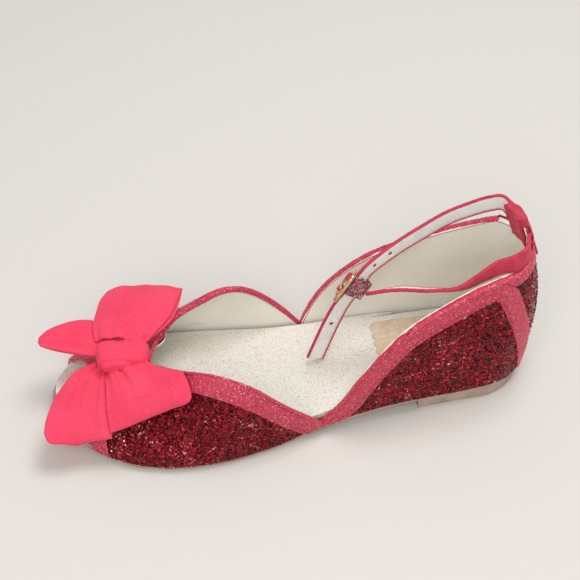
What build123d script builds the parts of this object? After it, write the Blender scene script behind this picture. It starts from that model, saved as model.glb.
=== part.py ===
from build123d import *

import math
import os

# A girl's left d'Orsay dress flat: open toe, V-cut sides, ankle strap through a heel tab, and a fabric bow.
# Frame, in millimetres: +X towards the toe, +Y towards the outer side of the foot, +Z up.
# The origin is on the floor under the middle of the heel lift.

# ---------------------------------------------------------------- driving sizes
# Plan of the upper where it meets the sole: distance forward of the heel centre, outer half, inner half.
PLAN = [
    (0, 24.0, 24.0),
    (30, 25.5, 25.0),
    (60, 28.5, 27.8),
    (84, 33.0, 30.5),
    (104, 38.0, 33.0),
    (124, 40.0, 35.5),
    (144, 38.0, 36.3),
    (162, 31.0, 33.8),
    (176, 19.5, 27.5),
    (184, 8.0, 17.0),
]
TOE_TIP = (188.0, -5.0)
HEEL_BACK = -24.0

# Bottom of the shoe, from the floor up.
LIFT_HEIGHT = 5.5
LIFT_BREAST = 28.0
LIFT_INSET = 1.4
OUTSOLE_THICK = 2.8
OUTSOLE_INSET = 1.2
BALL_START = 96.0
TREAD_END = 140.0
TOE_SPRING = 4.5
FILLER_THICK = 1.4
FILLER_INSET = 11.0
BOARD_THICK = 1.8
FOAM_THICK = 1.6
SOCK_THICK = 0.8
INSOLE_INSET = 3.4
GROOVE_DEEP = 0.7
GROOVE_WIDE = 1.6
GROOVE_STEP = 7.0
GROOVES = 9
LIFT_GROOVES = 4

# Steel shank in the waist.
SHANK_LONG = 76.0
SHANK_WIDE = 11.0
SHANK_CENTRE = 36.0
SHANK_FIT = 0.4

# Upper: thicknesses of the fabric and what is glued behind it.
GLITTER_THICK = 1.0
VAMP_LINING_THICK = 0.8
STIFFENER_THICK = 1.0
QUARTER_LINING_THICK = 0.8
BINDING_THICK = 0.7
BINDING_WIDE = 8.5
COLLAR_BINDING_WIDE = 4.5
COUNTER_TOP = 44.0
COUNTER_FRONT = 44.0

# Vamp: crest height over the floor at each forward row of PLAN, and the squareness of its arch.
CREST = {60: 68.0, 84: 65.0, 104: 57.5, 124: 42.0, 144: 27.0, 162: 22.5, 176: 17.5, 184: 12.0}
ARCH_POWER = 2.3
# Topline of the vamp: distance forward, then degrees down from the crest on the outer and the inner side.
V_X = 72.0
TOPLINE = [
    (58, 98, 98),
    (66, 87, 87),
    (73, 74, 72),
    (80, 63, 58),
    (86.5, 54, 48),
    (93, 46, 40.5),
    (100, 38.5, 35),
    (108, 33, 31.5),
    (116, 28.3, 32),
    (123, 24.5, 33.5),
    (129, 20.8, 32),
    (134, 16, 25),
    (138.5, 9.5, 18),
    (142.5, 1.0, 3.0),
]
# The fan of rays that cuts the topline: height of its foot, and how far it is open past the throat.
FAN_FOOT = -1.0
THROAT_END = 8.0
# Opening over the toes, seen from above: inner side, middle, outer side.
TOE_OPENING = [(182.0, -26.5), (167.0, -3.0), (172.5, 27.0)]
TOE_BINDING_WIDE = 8.0

# Quarter: height, back of the heel, then half widths at four stations forward of the heel centre.
QUARTER_STATIONS = (0, 30, 60, 84)
QUARTER = [
    (0.0, 24.0, (24.0, 25.5, 28.3, 32.0)),
    (20.0, 26.5, (23.6, 26.0, 29.2, 32.6)),
    (40.0, 28.0, (22.6, 25.6, 30.6, 34.0)),
    (62.0, 25.0, (20.0, 23.8, 30.8, 35.0)),
    (75.0, 21.2, (18.3, 22.6, 30.8, 35.0)),
    (90.0, 16.0, (16.4, 21.4, 30.8, 35.0)),
]
# Topline of each side of the quarter, from the V back; the rim's plane cuts both at the heel.
V_Z = 6.5
TOPLINE_OUTER = [(64.3, 14.6), (55.9, 29.4), (47.6, 41.0), (39, 49.8), (30.4, 55.2), (21.7, 59.2), (13.1, 62.9),
                 (4.7, 66.2), (-4, 68.3), (-12, 70.5)]
TOPLINE_INNER = [(67.1, 18.8), (63.6, 25.0), (59.1, 31.4), (53.5, 37.8), (47.1, 44.2), (40.8, 49.6), (30.4, 56.2),
                 (21.4, 60.6), (12, 64.4), (2, 67.8), (-6, 70.3), (-12, 73.0)]
COLLAR_HEIGHT = 71.5
RIM_TILT = 10.0
PANEL_CORNER = [(3.0, 69.0), (-5.0, 67.6), (-10.5, 64.5), (-14.0, 59.5), (-16.5, 53.0)]
# Rear edge of each side panel: a foot and a top point.
REAR_EDGE_FOOT = (-24.0, 8.0, 5.0)
REAR_EDGE_TOP = (-11.0, 18.0, 69.0)

# Ankle strap, its tab at the heel, its holes and its keeper.
STRAP_WIDE = 8.0
STRAP_THICK = 1.6
STRAP_LINING_THICK = 0.6
STRAP_HEIGHT = 79.5
STRAP_DEPTH = -0.2
STRAP_TILT = 20.0
STRAP_SPLIT = 6.3
STRAP_GAP = 0.3
TAB_MIDDLE = -3.0
HOLE_RADIUS = 0.9
HOLE_STEP = 8.5
HOLE_PLACES = (-2, -1, 0, 3)
FIRST_HOLE = -3.5
TAB_WIDE = 11.4
TAB_FABRIC = 0.9
TAB_TOP = 87.2
TAB_FOOT = 64.0
TAB_FOOT_INSIDE = 68.5
TAB_CLEARANCE = 0.3
OUTER_STRAND = [(-18, 9.3, 74.6), (-11.5, 13.6, 73.5), (-4.5, 14.1, 72.6), (3, 14.7, 68.7), (11, 14.4, 63.8),
                (22, 10.5, 60.6), (34.5, 4.8, 57.9), (44.5, 0.8, 53.3)]
INNER_STRAND = [(-12.7, -13, 83.0), (-8, -15.5, 81), (-1.3, -17, 78), (8, -17.3, 74.6), (20, -16, 69), (30, -13.8, 64.8),
                (39, -11, 60.8), (45.5, -8.2, 57.8)]
# How far the outer strand leans in over the ankle at each of its points, in degrees.
OUTER_LEAN = [0.0, 8.0, 16.0, 4.0, -18.0, -38.0, -50.0, -54.0, -46.0]
CROSSING = (51.0, -5.0, 52.5)
TAIL = [(57.0, -3.6, 45.0), (62.0, -3.0, 34.0), (66.0, -2.8, 22.5), (69.3, -2.6, 12.6)]
KEEPER_LONG = 9.0
KEEPER_FABRIC = 1.0
KEEPER_CLEARANCE = 0.35

# Buckle: a wire frame that turns on its bar, and a prong on the same bar.
BAR_RADIUS = 0.85
BAR_FIT = 0.08
CHAPE_FABRIC = 0.8
FRAME_LONG = 15.0
FRAME_DEEP = 11.5
FRAME_STAND = 48.0
PRONG_RADIUS = 0.6
PRONG_GAP = 2.6
PRONG_EYE_WIDE = 1.8
PRONG_EYE_WALL = 0.75

# Heel pad under the wearer's heel: scalloped in front.
PAD_THICK = 0.5
PAD_FRONT = 39.0
PAD_HALF = 17.0
SCALLOP_RADIUS = 3.0
SCALLOPS = 7

# Bow: the knot, then petals by their root, middle and end.
KNOT_CENTRE = (153.0, -1.0, 36.0)
KNOT_LONG = 22.0
KNOT_WIDE = 14.0
KNOT_HIGH = 11.0
BOW_CLEARANCE = 0.3
PETAL_THICK = 5.0
PETALS = {
    "toe_outer": [(160, 7, 31, 13), (171, 16, 24, 24), (179, 26, 17, 30)],
    "toe_inner": [(161, -8, 34, 11), (173, -14, 33, 20), (184, -20, 28, 24)],
    "heel_outer": [(147, 8, 37, 13), (143, 19, 36, 26), (141, 31, 28, 38)],
    "heel_inner": [(147, -9, 38, 13), (143, -20, 41, 24), (139, -34, 39, 31)],
}

FAR = 120.0


# ---------------------------------------------------------------- small helpers
def solid_of(shape):
    """The shape's solids, as one piece or as a compound of separate pieces."""
    pieces = [s for s in shape.solids() if s.volume > 0.5]
    return pieces[0] if len(pieces) == 1 else Compound(pieces)


def side_prism(edges, half=FAR):
    """A face drawn in the XZ plane, extruded to both sides."""
    return extrude(make_face(edges), amount=half, dir=(0, 1, 0), both=True)


def plan_prism(face, low=-10.0, high=FAR):
    return extrude(face.moved(Location((0, 0, low))), amount=high - low, dir=(0, 0, 1))


def half_space(point, normal):
    """A large box on the side of a plane that its normal points to."""
    return Plane(origin=point, z_dir=normal) * Box(4 * FAR, 4 * FAR, 2 * FAR, align=(Align.CENTER, Align.CENTER, Align.MIN))


def along(points, distance):
    """Points moved to the right of their direction of travel."""
    moved = []
    for i, (x, z) in enumerate(points):
        before, after = points[max(i - 1, 0)], points[min(i + 1, len(points) - 1)]
        dx, dz = after[0] - before[0], after[1] - before[1]
        size = math.hypot(dx, dz)
        moved.append((x + distance * dz / size, z - distance * dx / size))
    return moved


def in_side_view(points):
    return [(x, 0, z) for x, z in points]


# ---------------------------------------------------------------- the bottom
def bottom_edges(rise):
    """The shoe's underside seen from the side, raised: heel, waist, tread and toe spring."""
    heel = (HEEL_BACK - 12, 0, LIFT_HEIGHT + rise)
    breast = (LIFT_BREAST + 3, 0, LIFT_HEIGHT + rise)
    ball = (BALL_START, 0, rise)
    tread = (TREAD_END, 0, rise)
    toe = (TOE_TIP[0] + 8, 0, TOE_SPRING + 1 + rise)
    return [
        Line(heel, breast),
        Spline([breast, ball], tangents=[(1, 0, 0), (1, 0, 0)]),
        Line(ball, tread),
        Spline([tread, toe], tangents=[(1, 0, 0), (1, 0, 0.2)]),
    ]


def layer(low, high):
    """The slab between two heights over the underside."""
    lower, upper = bottom_edges(low), bottom_edges(high)
    ends = [Line(lower[0] @ 0, upper[0] @ 0), Line(lower[-1] @ 1, upper[-1] @ 1)]
    return side_prism(lower + upper + ends)


def plan_face(inset):
    """The shoe's outline seen from above, moved inwards."""
    tip = (TOE_TIP[0] - inset, TOE_TIP[1])
    outer = along([(x, out) for x, out, _ in PLAN] + [TOE_TIP], inset)
    inner = along([TOE_TIP] + [(x, -inn) for x, _, inn in reversed(PLAN)], inset)
    outer[0], inner[-1] = (0, PLAN[0][1] - inset), (0, inset - PLAN[0][2])
    outer[-1] = inner[0] = tip
    outer_side = Spline(outer, tangents=[(1, 0), (0, -1)])
    inner_side = Spline(inner, tangents=[(0, -1), (-1, 0)])
    heel = ThreePointArc(inner[-1], (HEEL_BACK + inset, 0), outer[0])
    return make_face([outer_side, inner_side, heel])


def grooves(first, count, width):
    """Cutters for the shallow grooves across the tread."""
    return [
        Pos(first + i * GROOVE_STEP, 0, 0) * Box(GROOVE_WIDE, width, 2 * GROOVE_DEEP)
        for i in range(count)
    ]


def make_bottom():
    outline = plan_prism(plan_face(OUTSOLE_INSET))
    outsole = layer(0, OUTSOLE_THICK) & outline
    for cut in grooves(BALL_START + 2, GROOVES, 44):
        outsole -= cut
    heel_outline = plan_prism(plan_face(LIFT_INSET), 0, LIFT_HEIGHT)
    lift = heel_outline - half_space((LIFT_BREAST, 0, 0), (1, 0, 0))
    for cut in grooves(-1.5 * GROOVE_STEP, LIFT_GROOVES, 30):
        lift -= cut
    top = OUTSOLE_THICK
    filler = layer(top, top + FILLER_THICK) & plan_prism(plan_face(FILLER_INSET))
    shank_room = Pos(SHANK_CENTRE, 0, 0) * Box(SHANK_LONG + 2 * SHANK_FIT, SHANK_WIDE + 2 * SHANK_FIT, FAR)
    filler -= shank_room
    shank = layer(top, top + FILLER_THICK) & (Pos(SHANK_CENTRE, 0, 0) * Box(SHANK_LONG, SHANK_WIDE, FAR))
    top += FILLER_THICK
    inside = plan_prism(plan_face(INSOLE_INSET))
    board = layer(top, top + BOARD_THICK) & inside
    top += BOARD_THICK
    foam = layer(top, top + FOAM_THICK) & inside
    top += FOAM_THICK
    sock = layer(top, top + SOCK_THICK) & inside
    top += SOCK_THICK
    pad = layer(top, top + PAD_THICK) & plan_prism(pad_face())
    return {
        "outsole": outsole,
        "heel_lift": lift,
        "bottom_filler": filler,
        "shank": shank,
        "insole_board": board,
        "sock_foam": foam,
        "sock_cover": sock,
        "heel_pad": pad,
    }


def pad_face():
    """The heel pad from above: a round heel, straight sides and a row of scallops in front."""
    round_heel = ThreePointArc((0, -PAD_HALF), (-PAD_HALF, 0), (0, PAD_HALF))
    body = make_face([
        round_heel,
        Line((0, PAD_HALF), (PAD_FRONT, PAD_HALF)),
        Line((PAD_FRONT, PAD_HALF), (PAD_FRONT, -PAD_HALF)),
        Line((PAD_FRONT, -PAD_HALF), (0, -PAD_HALF)),
    ])
    step = 2 * (PAD_HALF - SCALLOP_RADIUS) / (SCALLOPS - 1)
    for i in range(SCALLOPS):
        body += Pos(PAD_FRONT, -PAD_HALF + SCALLOP_RADIUS + i * step) * Circle(SCALLOP_RADIUS)
    return body


# ---------------------------------------------------------------- vamp
def arch(row, grow):
    """One cross-section of the vamp's form, across the foot."""
    x, out, inn = row
    centre, half, crest = (out - inn) / 2, (out + inn) / 2 + grow, CREST[x] + grow
    points = []
    for degrees in (0, 14, 32, 54, 90, 126, 148, 166, 180):
        c, s = math.cos(math.radians(degrees)), math.sin(math.radians(degrees))
        y = centre + half * math.copysign(abs(c) ** (2 / ARCH_POWER), c) if abs(c) > 1e-9 else centre
        points.append((x, y, crest * abs(s) ** (2 / ARCH_POWER) if abs(s) > 1e-9 else 0.0))
    over = Spline(points, tangents=[(0, 0, 1), (0, 0, -1)])
    return make_face([over, Line(points[-1], points[0])])


def vamp_form(grow):
    """The vamp's form, grown outwards from its outer surface."""
    return loft([arch(row, grow) for row in PLAN if row[0] in CREST])


def topline_fan(lower):
    """What the low-cut opening takes from the vamp: a fan of sections that opens from the throat back.

    Moved down the vamp by some millimetres, it leaves the strip that the binding covers.
    """
    rows = TOPLINE
    if lower:
        sides = []
        for side in (1, -1):
            points = [on_vamp(x, side, outer if side > 0 else inner) for x, outer, inner in TOPLINE]
            sides.append([fan_angle(point, side) for point in lowered(points, side, lower)])
        stations = [row[0] for row in TOPLINE] + [TOPLINE[-1][0] + 0.65 * lower]
        rows = [(x, at_x(sides[0], x), at_x(sides[1], x)) for x in stations]
        rows.append((TOPLINE[-1][0] + 1.24 * lower, THROAT_END, THROAT_END))
    sections = []
    for x, outer, inner in rows:
        apex = Vector(x, vamp_row(x)[0], FAN_FOOT)
        rays = [outer, (outer - inner) / 2, -inner]
        corners = [apex] + [
            apex + Vector(0, math.sin(math.radians(a)), math.cos(math.radians(a))) * FAR for a in rays
        ]
        sections.append(make_face([Line(corners[i], corners[(i + 1) % 4]) for i in range(4)]))
    return loft(sections, ruled=bool(lower))


def vamp_row(x):
    """Middle, half width and crest height of the vamp at a distance forward, read between its rows."""
    rows = [(row[0], (row[1] - row[2]) / 2, (row[1] + row[2]) / 2, CREST[row[0]]) for row in PLAN if row[0] in CREST]
    after = next((i for i, row in enumerate(rows) if row[0] >= x), len(rows) - 1)
    a, b = rows[max(after - 1, 0)], rows[max(after, 1)]
    share = (x - a[0]) / (b[0] - a[0])
    return [a[i] + (b[i] - a[i]) * share for i in (1, 2, 3)]


def on_vamp(x, side, degrees):
    """The point of the vamp's surface at an angle down from its crest."""
    middle, half, crest = vamp_row(x)
    s, c = math.sin(math.radians(degrees)), math.cos(math.radians(degrees))
    reach = ((abs(s) / half) ** ARCH_POWER + (abs(c) / crest) ** ARCH_POWER) ** (-1 / ARCH_POWER)
    return Vector(x, middle + side * reach * s, reach * c)


def lowered(points, side, distance):
    """Points of the topline moved down the vamp's surface."""
    moved = []
    for i, point in enumerate(points):
        travel = (points[min(i + 1, len(points) - 1)] - points[max(i - 1, 0)]).normalized()
        outwards = Vector(0, point.Y - vamp_row(point.X)[0], point.Z).normalized()
        moved.append(point + outwards.cross(travel) * (side * distance))
    return moved


def fan_angle(point, side):
    return point.X, math.degrees(math.atan2(side * (point.Y - vamp_row(point.X)[0]), point.Z))


def at_x(pairs, x):
    """A value read between (x, value) pairs, held beyond their ends."""
    for (x0, v0), (x1, v1) in zip(pairs, pairs[1:]):
        if x <= x1:
            return v0 + (v1 - v0) * max(0.0, (x - x0) / (x1 - x0))
    return pairs[-1][1]


def side_prism_below(edges):
    """Everything under a line seen from the side."""
    first, last = edges[0] @ 0, edges[-1] @ 1
    low = -FAR
    return side_prism(edges + [
        Line(last, (last.X, 0, low)),
        Line((last.X, 0, low), (first.X, 0, low)),
        Line((first.X, 0, low), first),
    ])


def behind_toes(back):
    """Everything behind the opening over the toes, or behind the same line moved towards the heel."""
    inner, middle, outer = [(x - back, y) for x, y in TOE_OPENING]
    edge = ThreePointArc(inner, middle, outer)
    face = make_face([
        edge,
        Line(outer, (outer[0], FAR)),
        Line((outer[0], FAR), (-FAR, FAR)),
        Line((-FAR, FAR), (-FAR, -FAR)),
        Line((-FAR, -FAR), (inner[0], -FAR)),
        Line((inner[0], -FAR), inner),
    ])
    return plan_prism(face)


def make_vamp():
    outer, middle = vamp_form(0), vamp_form(-GLITTER_THICK)
    inner = vamp_form(-GLITTER_THICK - VAMP_LINING_THICK)
    bound = vamp_form(BINDING_THICK)
    front = half_space((V_X, 0, 0), (1, 0, 0)) & behind_toes(0)
    front = front - side_prism_below(bottom_edges(OUTSOLE_THICK)) - topline_fan(0)
    strip = (bound - outer) & front
    toe_band = strip - behind_toes(TOE_BINDING_WIDE)
    topline_band = (strip & topline_fan(BINDING_WIDE)) - toe_band
    return {
        "vamp": (outer - middle) & front,
        "vamp_lining": (middle - inner) & front,
        "vamp_topline_binding": topline_band,
        "toe_binding": toe_band,
    }


# ---------------------------------------------------------------- quarter
def ring(row, shrink):
    """One level section of the heel part's form: an elliptical back and sides that run forward."""
    z, back, widths = row
    points = []
    for degrees in (0, 30, 60):
        a = math.radians(degrees)
        points.append((-(back - shrink) * math.cos(a), (widths[0] - shrink) * math.sin(a), z))
    side = [(x, w - shrink, z) for x, w in zip(QUARTER_STATIONS, widths)]
    right = points + side
    left = [(x, -y, z) for x, y, z in reversed(right[1:])]
    return make_face([Spline(left + right), Line(right[-1], left[0])])


def quarter_form(shrink):
    return loft([ring(row, shrink) for row in QUARTER])


def below_topline(topline, lower):
    """Everything behind and under one side's topline, or under the same line moved down."""
    line = [(V_X, V_Z)] + topline + [(HEEL_BACK - 12, FAR - 20)]
    if lower:
        line = [(V_X - 0.45 * lower, OUTSOLE_THICK)] + along(line, -lower)[1:]
    first, last = line[0], line[-1]
    return side_prism([
        Spline(in_side_view(line[:-1])),
        Line((line[-2][0], 0, line[-2][1]), (last[0], 0, last[1])),
        Line((last[0], 0, last[1]), (-FAR, 0, last[1])),
        Line((-FAR, 0, last[1]), (-FAR, 0, 0)),
        Line((-FAR, 0, 0), (first[0], 0, 0)),
        Line((first[0], 0, 0), (first[0], 0, first[1])),
    ])


def quarter_room(lower, rim_lower):
    """Everything under the quarter's topline and the tilted rim at the heel, above the sole."""
    outer = below_topline(TOPLINE_OUTER, lower) & half_space((0, 0, 0), (0, 1, 0))
    inner = below_topline(TOPLINE_INNER, lower) & half_space((0, 0, 0), (0, -1, 0))
    a = math.radians(RIM_TILT)
    over_rim = half_space((0, 0, COLLAR_HEIGHT - rim_lower), (0, math.sin(a), math.cos(a)))
    return outer + inner - over_rim - side_prism_below(bottom_edges(OUTSOLE_THICK))


def below_corner(forward):
    """Everything under the rounded top rear corner of a side panel, or of the same corner moved in."""
    line = along(PANEL_CORNER, -forward) if forward else PANEL_CORNER
    first, last = line[0], line[-1]
    return side_prism([
        Spline(in_side_view(line)),
        Line((last[0], 0, last[1]), (-FAR, 0, last[1])),
        Line((-FAR, 0, last[1]), (-FAR, 0, -FAR)),
        Line((-FAR, 0, -FAR), (FAR, 0, -FAR)),
        Line((FAR, 0, -FAR), (FAR, 0, FAR)),
        Line((FAR, 0, FAR), (first[0], 0, FAR)),
        Line((first[0], 0, FAR), (first[0], 0, first[1])),
    ])


def rear_edge(side, forward):
    """Everything forward of a side panel's rear edge, or of the same edge moved forward."""
    foot, top = Vector(*REAR_EDGE_FOOT), Vector(*REAR_EDGE_TOP)
    outwards = Vector(-0.67, 0.63, 0)
    normal = (top - foot).cross(outwards).normalized() * -1
    point = foot + normal * forward
    return half_space((point.X, side * point.Y, point.Z), (normal.X, side * normal.Y, normal.Z))


def make_quarter():
    glitter, stiff = quarter_form(0), quarter_form(GLITTER_THICK)
    padded = quarter_form(GLITTER_THICK + STIFFENER_THICK)
    inner = quarter_form(GLITTER_THICK + STIFFENER_THICK + QUARTER_LINING_THICK)
    bound = quarter_form(-BINDING_THICK)
    room = quarter_room(0, 0)
    panel, strip = (glitter - stiff) & room, (bound - glitter) & room
    middle = (stiff - padded) & room
    counter_zone = side_prism([
        Line((-FAR, 0, 0), (COUNTER_FRONT, 0, 0)),
        Spline([(COUNTER_FRONT, 0, 0), (COUNTER_FRONT * 0.72, 0, COUNTER_TOP * 0.7), (0, 0, COUNTER_TOP)]),
        Line((0, 0, COUNTER_TOP), (-FAR, 0, COUNTER_TOP)),
        Line((-FAR, 0, COUNTER_TOP), (-FAR, 0, 0)),
    ])
    made = {
        "quarter_lining": (padded - inner) & room,
        "heel_counter": middle & counter_zone,
        "quarter_interlining": middle - counter_zone,
    }
    deep = quarter_room(BINDING_WIDE, 0)
    back, back_strip = panel, strip - quarter_room(0, COLLAR_BINDING_WIDE)
    for name, side in (("outer", 1), ("inner", -1)):
        half = half_space((0, 0, 0), (0, side, 0))
        zone = half & rear_edge(side, 0) & below_corner(0)
        core = half & deep & rear_edge(side, BINDING_WIDE) & below_corner(BINDING_WIDE)
        made[f"quarter_{name}"] = panel & zone
        made[f"quarter_binding_{name}"] = (strip & zone) - core
        back = back - zone
        back_strip = back_strip - zone
    made["back_panel"] = back
    made["collar_binding"] = back_strip
    return made


# ---------------------------------------------------------------- strap
def tilted_level(low, high):
    """A slab between two heights at the tab's middle, tilted across the heel as the strap lies."""
    slab = Pos(0, 0, (low + high) / 2 - STRAP_HEIGHT) * Box(4 * FAR, 4 * FAR, high - low)
    return Pos(0, TAB_MIDDLE, STRAP_HEIGHT) * Rot(-STRAP_TILT, 0, 0) * slab


def across(width):
    """A slab across the middle of the tab, open along X and Z."""
    return Pos(0, TAB_MIDDLE, 0) * Box(4 * FAR, width, 4 * FAR)


def make_tab():
    """The tab: outer leg, roof and inner leg round the strap, sewn over the top of the heel."""
    behind = half_space((-2, 0, 0), (-1, 0, 0))
    wall = GLITTER_THICK + STIFFENER_THICK + QUARTER_LINING_THICK
    heights = Pos(0, 0, (TAB_FOOT + TAB_TOP) / 2) * Box(4 * FAR, 4 * FAR, TAB_TOP - TAB_FOOT)
    whole = quarter_form(-BINDING_THICK - TAB_FABRIC) - quarter_form(wall + TAB_FABRIC)
    whole = whole & heights & across(TAB_WIDE) & behind
    half = STRAP_WIDE / 2 + TAB_CLEARANCE
    tunnel = quarter_form(STRAP_DEPTH - TAB_CLEARANCE) - quarter_form(STRAP_DEPTH + STRAP_THICK + TAB_CLEARANCE)
    tunnel = tunnel & tilted_level(STRAP_HEIGHT - half, STRAP_HEIGHT + half)
    core = (quarter_form(-BINDING_THICK) - quarter_form(wall)) & quarter_room(0, 0)
    short = quarter_form(wall) & (Pos(0, 0, TAB_FOOT_INSIDE - FAR) * Box(4 * FAR, 4 * FAR, 2 * FAR))
    return whole - core - tunnel - short


def make_heel_length():
    """The length of strap inside the tab."""
    behind = half_space((-2, 0, 0), (-1, 0, 0))
    band = tilted_level(STRAP_HEIGHT - STRAP_WIDE / 2, STRAP_HEIGHT + STRAP_WIDE / 2)
    room = band & across(2 * STRAP_SPLIT) & behind
    seam = STRAP_DEPTH + STRAP_THICK - STRAP_LINING_THICK
    face = (quarter_form(STRAP_DEPTH) - quarter_form(seam)) & room
    lining = (quarter_form(seam) - quarter_form(STRAP_DEPTH + STRAP_THICK)) & room
    return face, lining


def heel_x(y, z, depth):
    """Where the heel part's form, or a layer inside it, crosses a line parallel to X at the back."""
    rows = [(row[0], row[1]) for row in QUARTER], [(row[0], row[2][0]) for row in QUARTER]
    back, half = (at_x(pairs, z) - depth for pairs in rows)
    return -back * math.sqrt(1 - (y / half) ** 2)


def strand_start(side, low, high):
    """The section of a strand on the plane where the heel length ends."""
    y = TAB_MIDDLE + side * STRAP_SPLIT
    middle = STRAP_HEIGHT - side * STRAP_SPLIT * math.tan(math.radians(STRAP_TILT))
    reach = STRAP_WIDE / 2 / math.cos(math.radians(STRAP_TILT))
    corners = []
    for z, depth in ((middle - reach, low), (middle + reach, low), (middle + reach, high), (middle - reach, high)):
        corners.append(Vector(heel_x(y, z, STRAP_DEPTH + depth), y + side * STRAP_GAP, z))
    return make_face([Line(corners[i], corners[(i + 1) % 4]) for i in range(4)])


def frame_at(points, i, side, lean=0.0):
    """Travel, width and ankle-ward directions of the strap at one of its points."""
    travel = (points[min(i + 1, len(points) - 1)] - points[max(i - 1, 0)]).normalized()
    upright = Vector(0, 0, 1)
    width = (upright - travel * upright.dot(travel)).normalized()
    inward = travel.cross(width).normalized() * side
    a = math.radians(lean)
    return travel, width * math.cos(a) + inward * math.sin(a), inward * math.cos(a) - width * math.sin(a)


def strap_section(centre, width, inward, low, high):
    """A rectangle across the strap from one depth to another, counted from its outer face."""
    corners = []
    for across_it, depth in ((-1, low), (1, low), (1, high), (-1, high)):
        corners.append(centre + width * (across_it * STRAP_WIDE / 2) + inward * (depth - STRAP_THICK / 2))
    return make_face([Line(corners[i], corners[(i + 1) % 4]) for i in range(4)])


def strand(points, side, leans, low, high):
    """A length of strap through points, which starts on the plane where the heel length ends."""
    sections = [strand_start(side, low, high)]
    for i in range(1, len(points)):
        _, width, inward = frame_at(points, i, side, leans[i])
        sections.append(strap_section(points[i], width, inward, low, high))
    return loft(sections)


def strap_start(side):
    y = TAB_MIDDLE + side * STRAP_SPLIT
    z = STRAP_HEIGHT - side * STRAP_SPLIT * math.tan(math.radians(STRAP_TILT))
    return Vector(heel_x(y, z, STRAP_DEPTH + STRAP_THICK / 2), y, z)


def keeper_frame():
    """Travel, width and ankle-ward directions of the strap at the crossing."""
    return frame_at([Vector(*INNER_STRAND[-1]), Vector(*CROSSING), Vector(*TAIL[0])], 1, -1)


def make_strap():
    inner_points = [strap_start(-1)] + [Vector(*p) for p in INNER_STRAND + [CROSSING] + TAIL]
    outer_points = [strap_start(1)] + [Vector(*p) for p in OUTER_STRAND]
    seam = STRAP_THICK - STRAP_LINING_THICK
    flat = [0.0] * len(inner_points)
    inner_face = strand(inner_points, -1, flat, 0, seam)
    inner_lining = strand(inner_points, -1, flat, seam, STRAP_THICK)
    for cut in hole_cutters(inner_points):
        inner_face -= cut
        inner_lining -= cut
    return {
        "strap_face_inner": inner_face,
        "strap_lining_inner": inner_lining,
        "strap_face_outer": strand(outer_points, 1, OUTER_LEAN, 0, seam),
        "strap_lining_outer": strand(outer_points, 1, OUTER_LEAN, seam, STRAP_THICK),
    }


def hole_cutters(points):
    """Punches through the inner strand and its tail, evenly spaced along it."""
    travelled = [0.0]
    for a, b in zip(points, points[1:]):
        travelled.append(travelled[-1] + (b - a).length)
    crossing = travelled[points.index(Vector(*CROSSING))]
    cutters = []
    for k in HOLE_PLACES:
        at = crossing + FIRST_HOLE + k * HOLE_STEP
        i = max(j for j, t in enumerate(travelled) if t <= at)
        share = (at - travelled[i]) / (travelled[i + 1] - travelled[i])
        place = points[i] * (1 - share) + points[i + 1] * share
        nearest = i if share < 0.5 else i + 1
        _, _, inward = frame_at(points, nearest, -1)
        cutters.append(Plane(origin=place, z_dir=inward) * Cylinder(HOLE_RADIUS, 5 * STRAP_THICK))
    return cutters


# ---------------------------------------------------------------- keeper, chape and buckle
def local_box(origin, axes, sizes):
    """A box on three given directions."""
    travel, width, _ = axes
    return Plane(origin=origin, x_dir=travel, z_dir=travel.cross(width)) * Box(*sizes)


def make_keeper():
    """The glitter keeper round the strap, and the two loops of chape that hold the buckle's bar."""
    travel, width, inward = keeper_frame()
    centre = Vector(*CROSSING)
    hollow_wide, hollow_thick = STRAP_WIDE + 2 * KEEPER_CLEARANCE + 0.6, STRAP_THICK + 2 * KEEPER_CLEARANCE + 0.8
    body = local_box(centre, (travel, width, inward), (KEEPER_LONG, hollow_wide + 2 * KEEPER_FABRIC, hollow_thick + 2 * KEEPER_FABRIC))
    body -= local_box(centre, (travel, width, inward), (2 * KEEPER_LONG, hollow_wide, hollow_thick))
    loops = []
    bar = bar_centre()
    loop_radius = BAR_RADIUS + BAR_FIT + CHAPE_FABRIC
    loop_long = (KEEPER_LONG - PRONG_GAP) / 2
    for way in (-1, 1):
        middle = bar + travel * (way * (PRONG_GAP + loop_long) / 2)
        loop = Plane(origin=middle, z_dir=travel) * Cylinder(loop_radius, loop_long)
        loop -= Plane(origin=middle, z_dir=travel) * Cylinder(BAR_RADIUS + BAR_FIT, 2 * loop_long)
        loops.append(loop)
    return {"strap_keeper": body, "buckle_chape": Compound([solid_of(loop) for loop in loops])}


def bar_centre():
    _, width, _ = keeper_frame()
    reach = STRAP_WIDE / 2 + KEEPER_CLEARANCE + 0.3 + KEEPER_FABRIC + BAR_RADIUS + BAR_FIT + CHAPE_FABRIC + 0.02
    return Vector(*CROSSING) + width * reach


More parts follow.
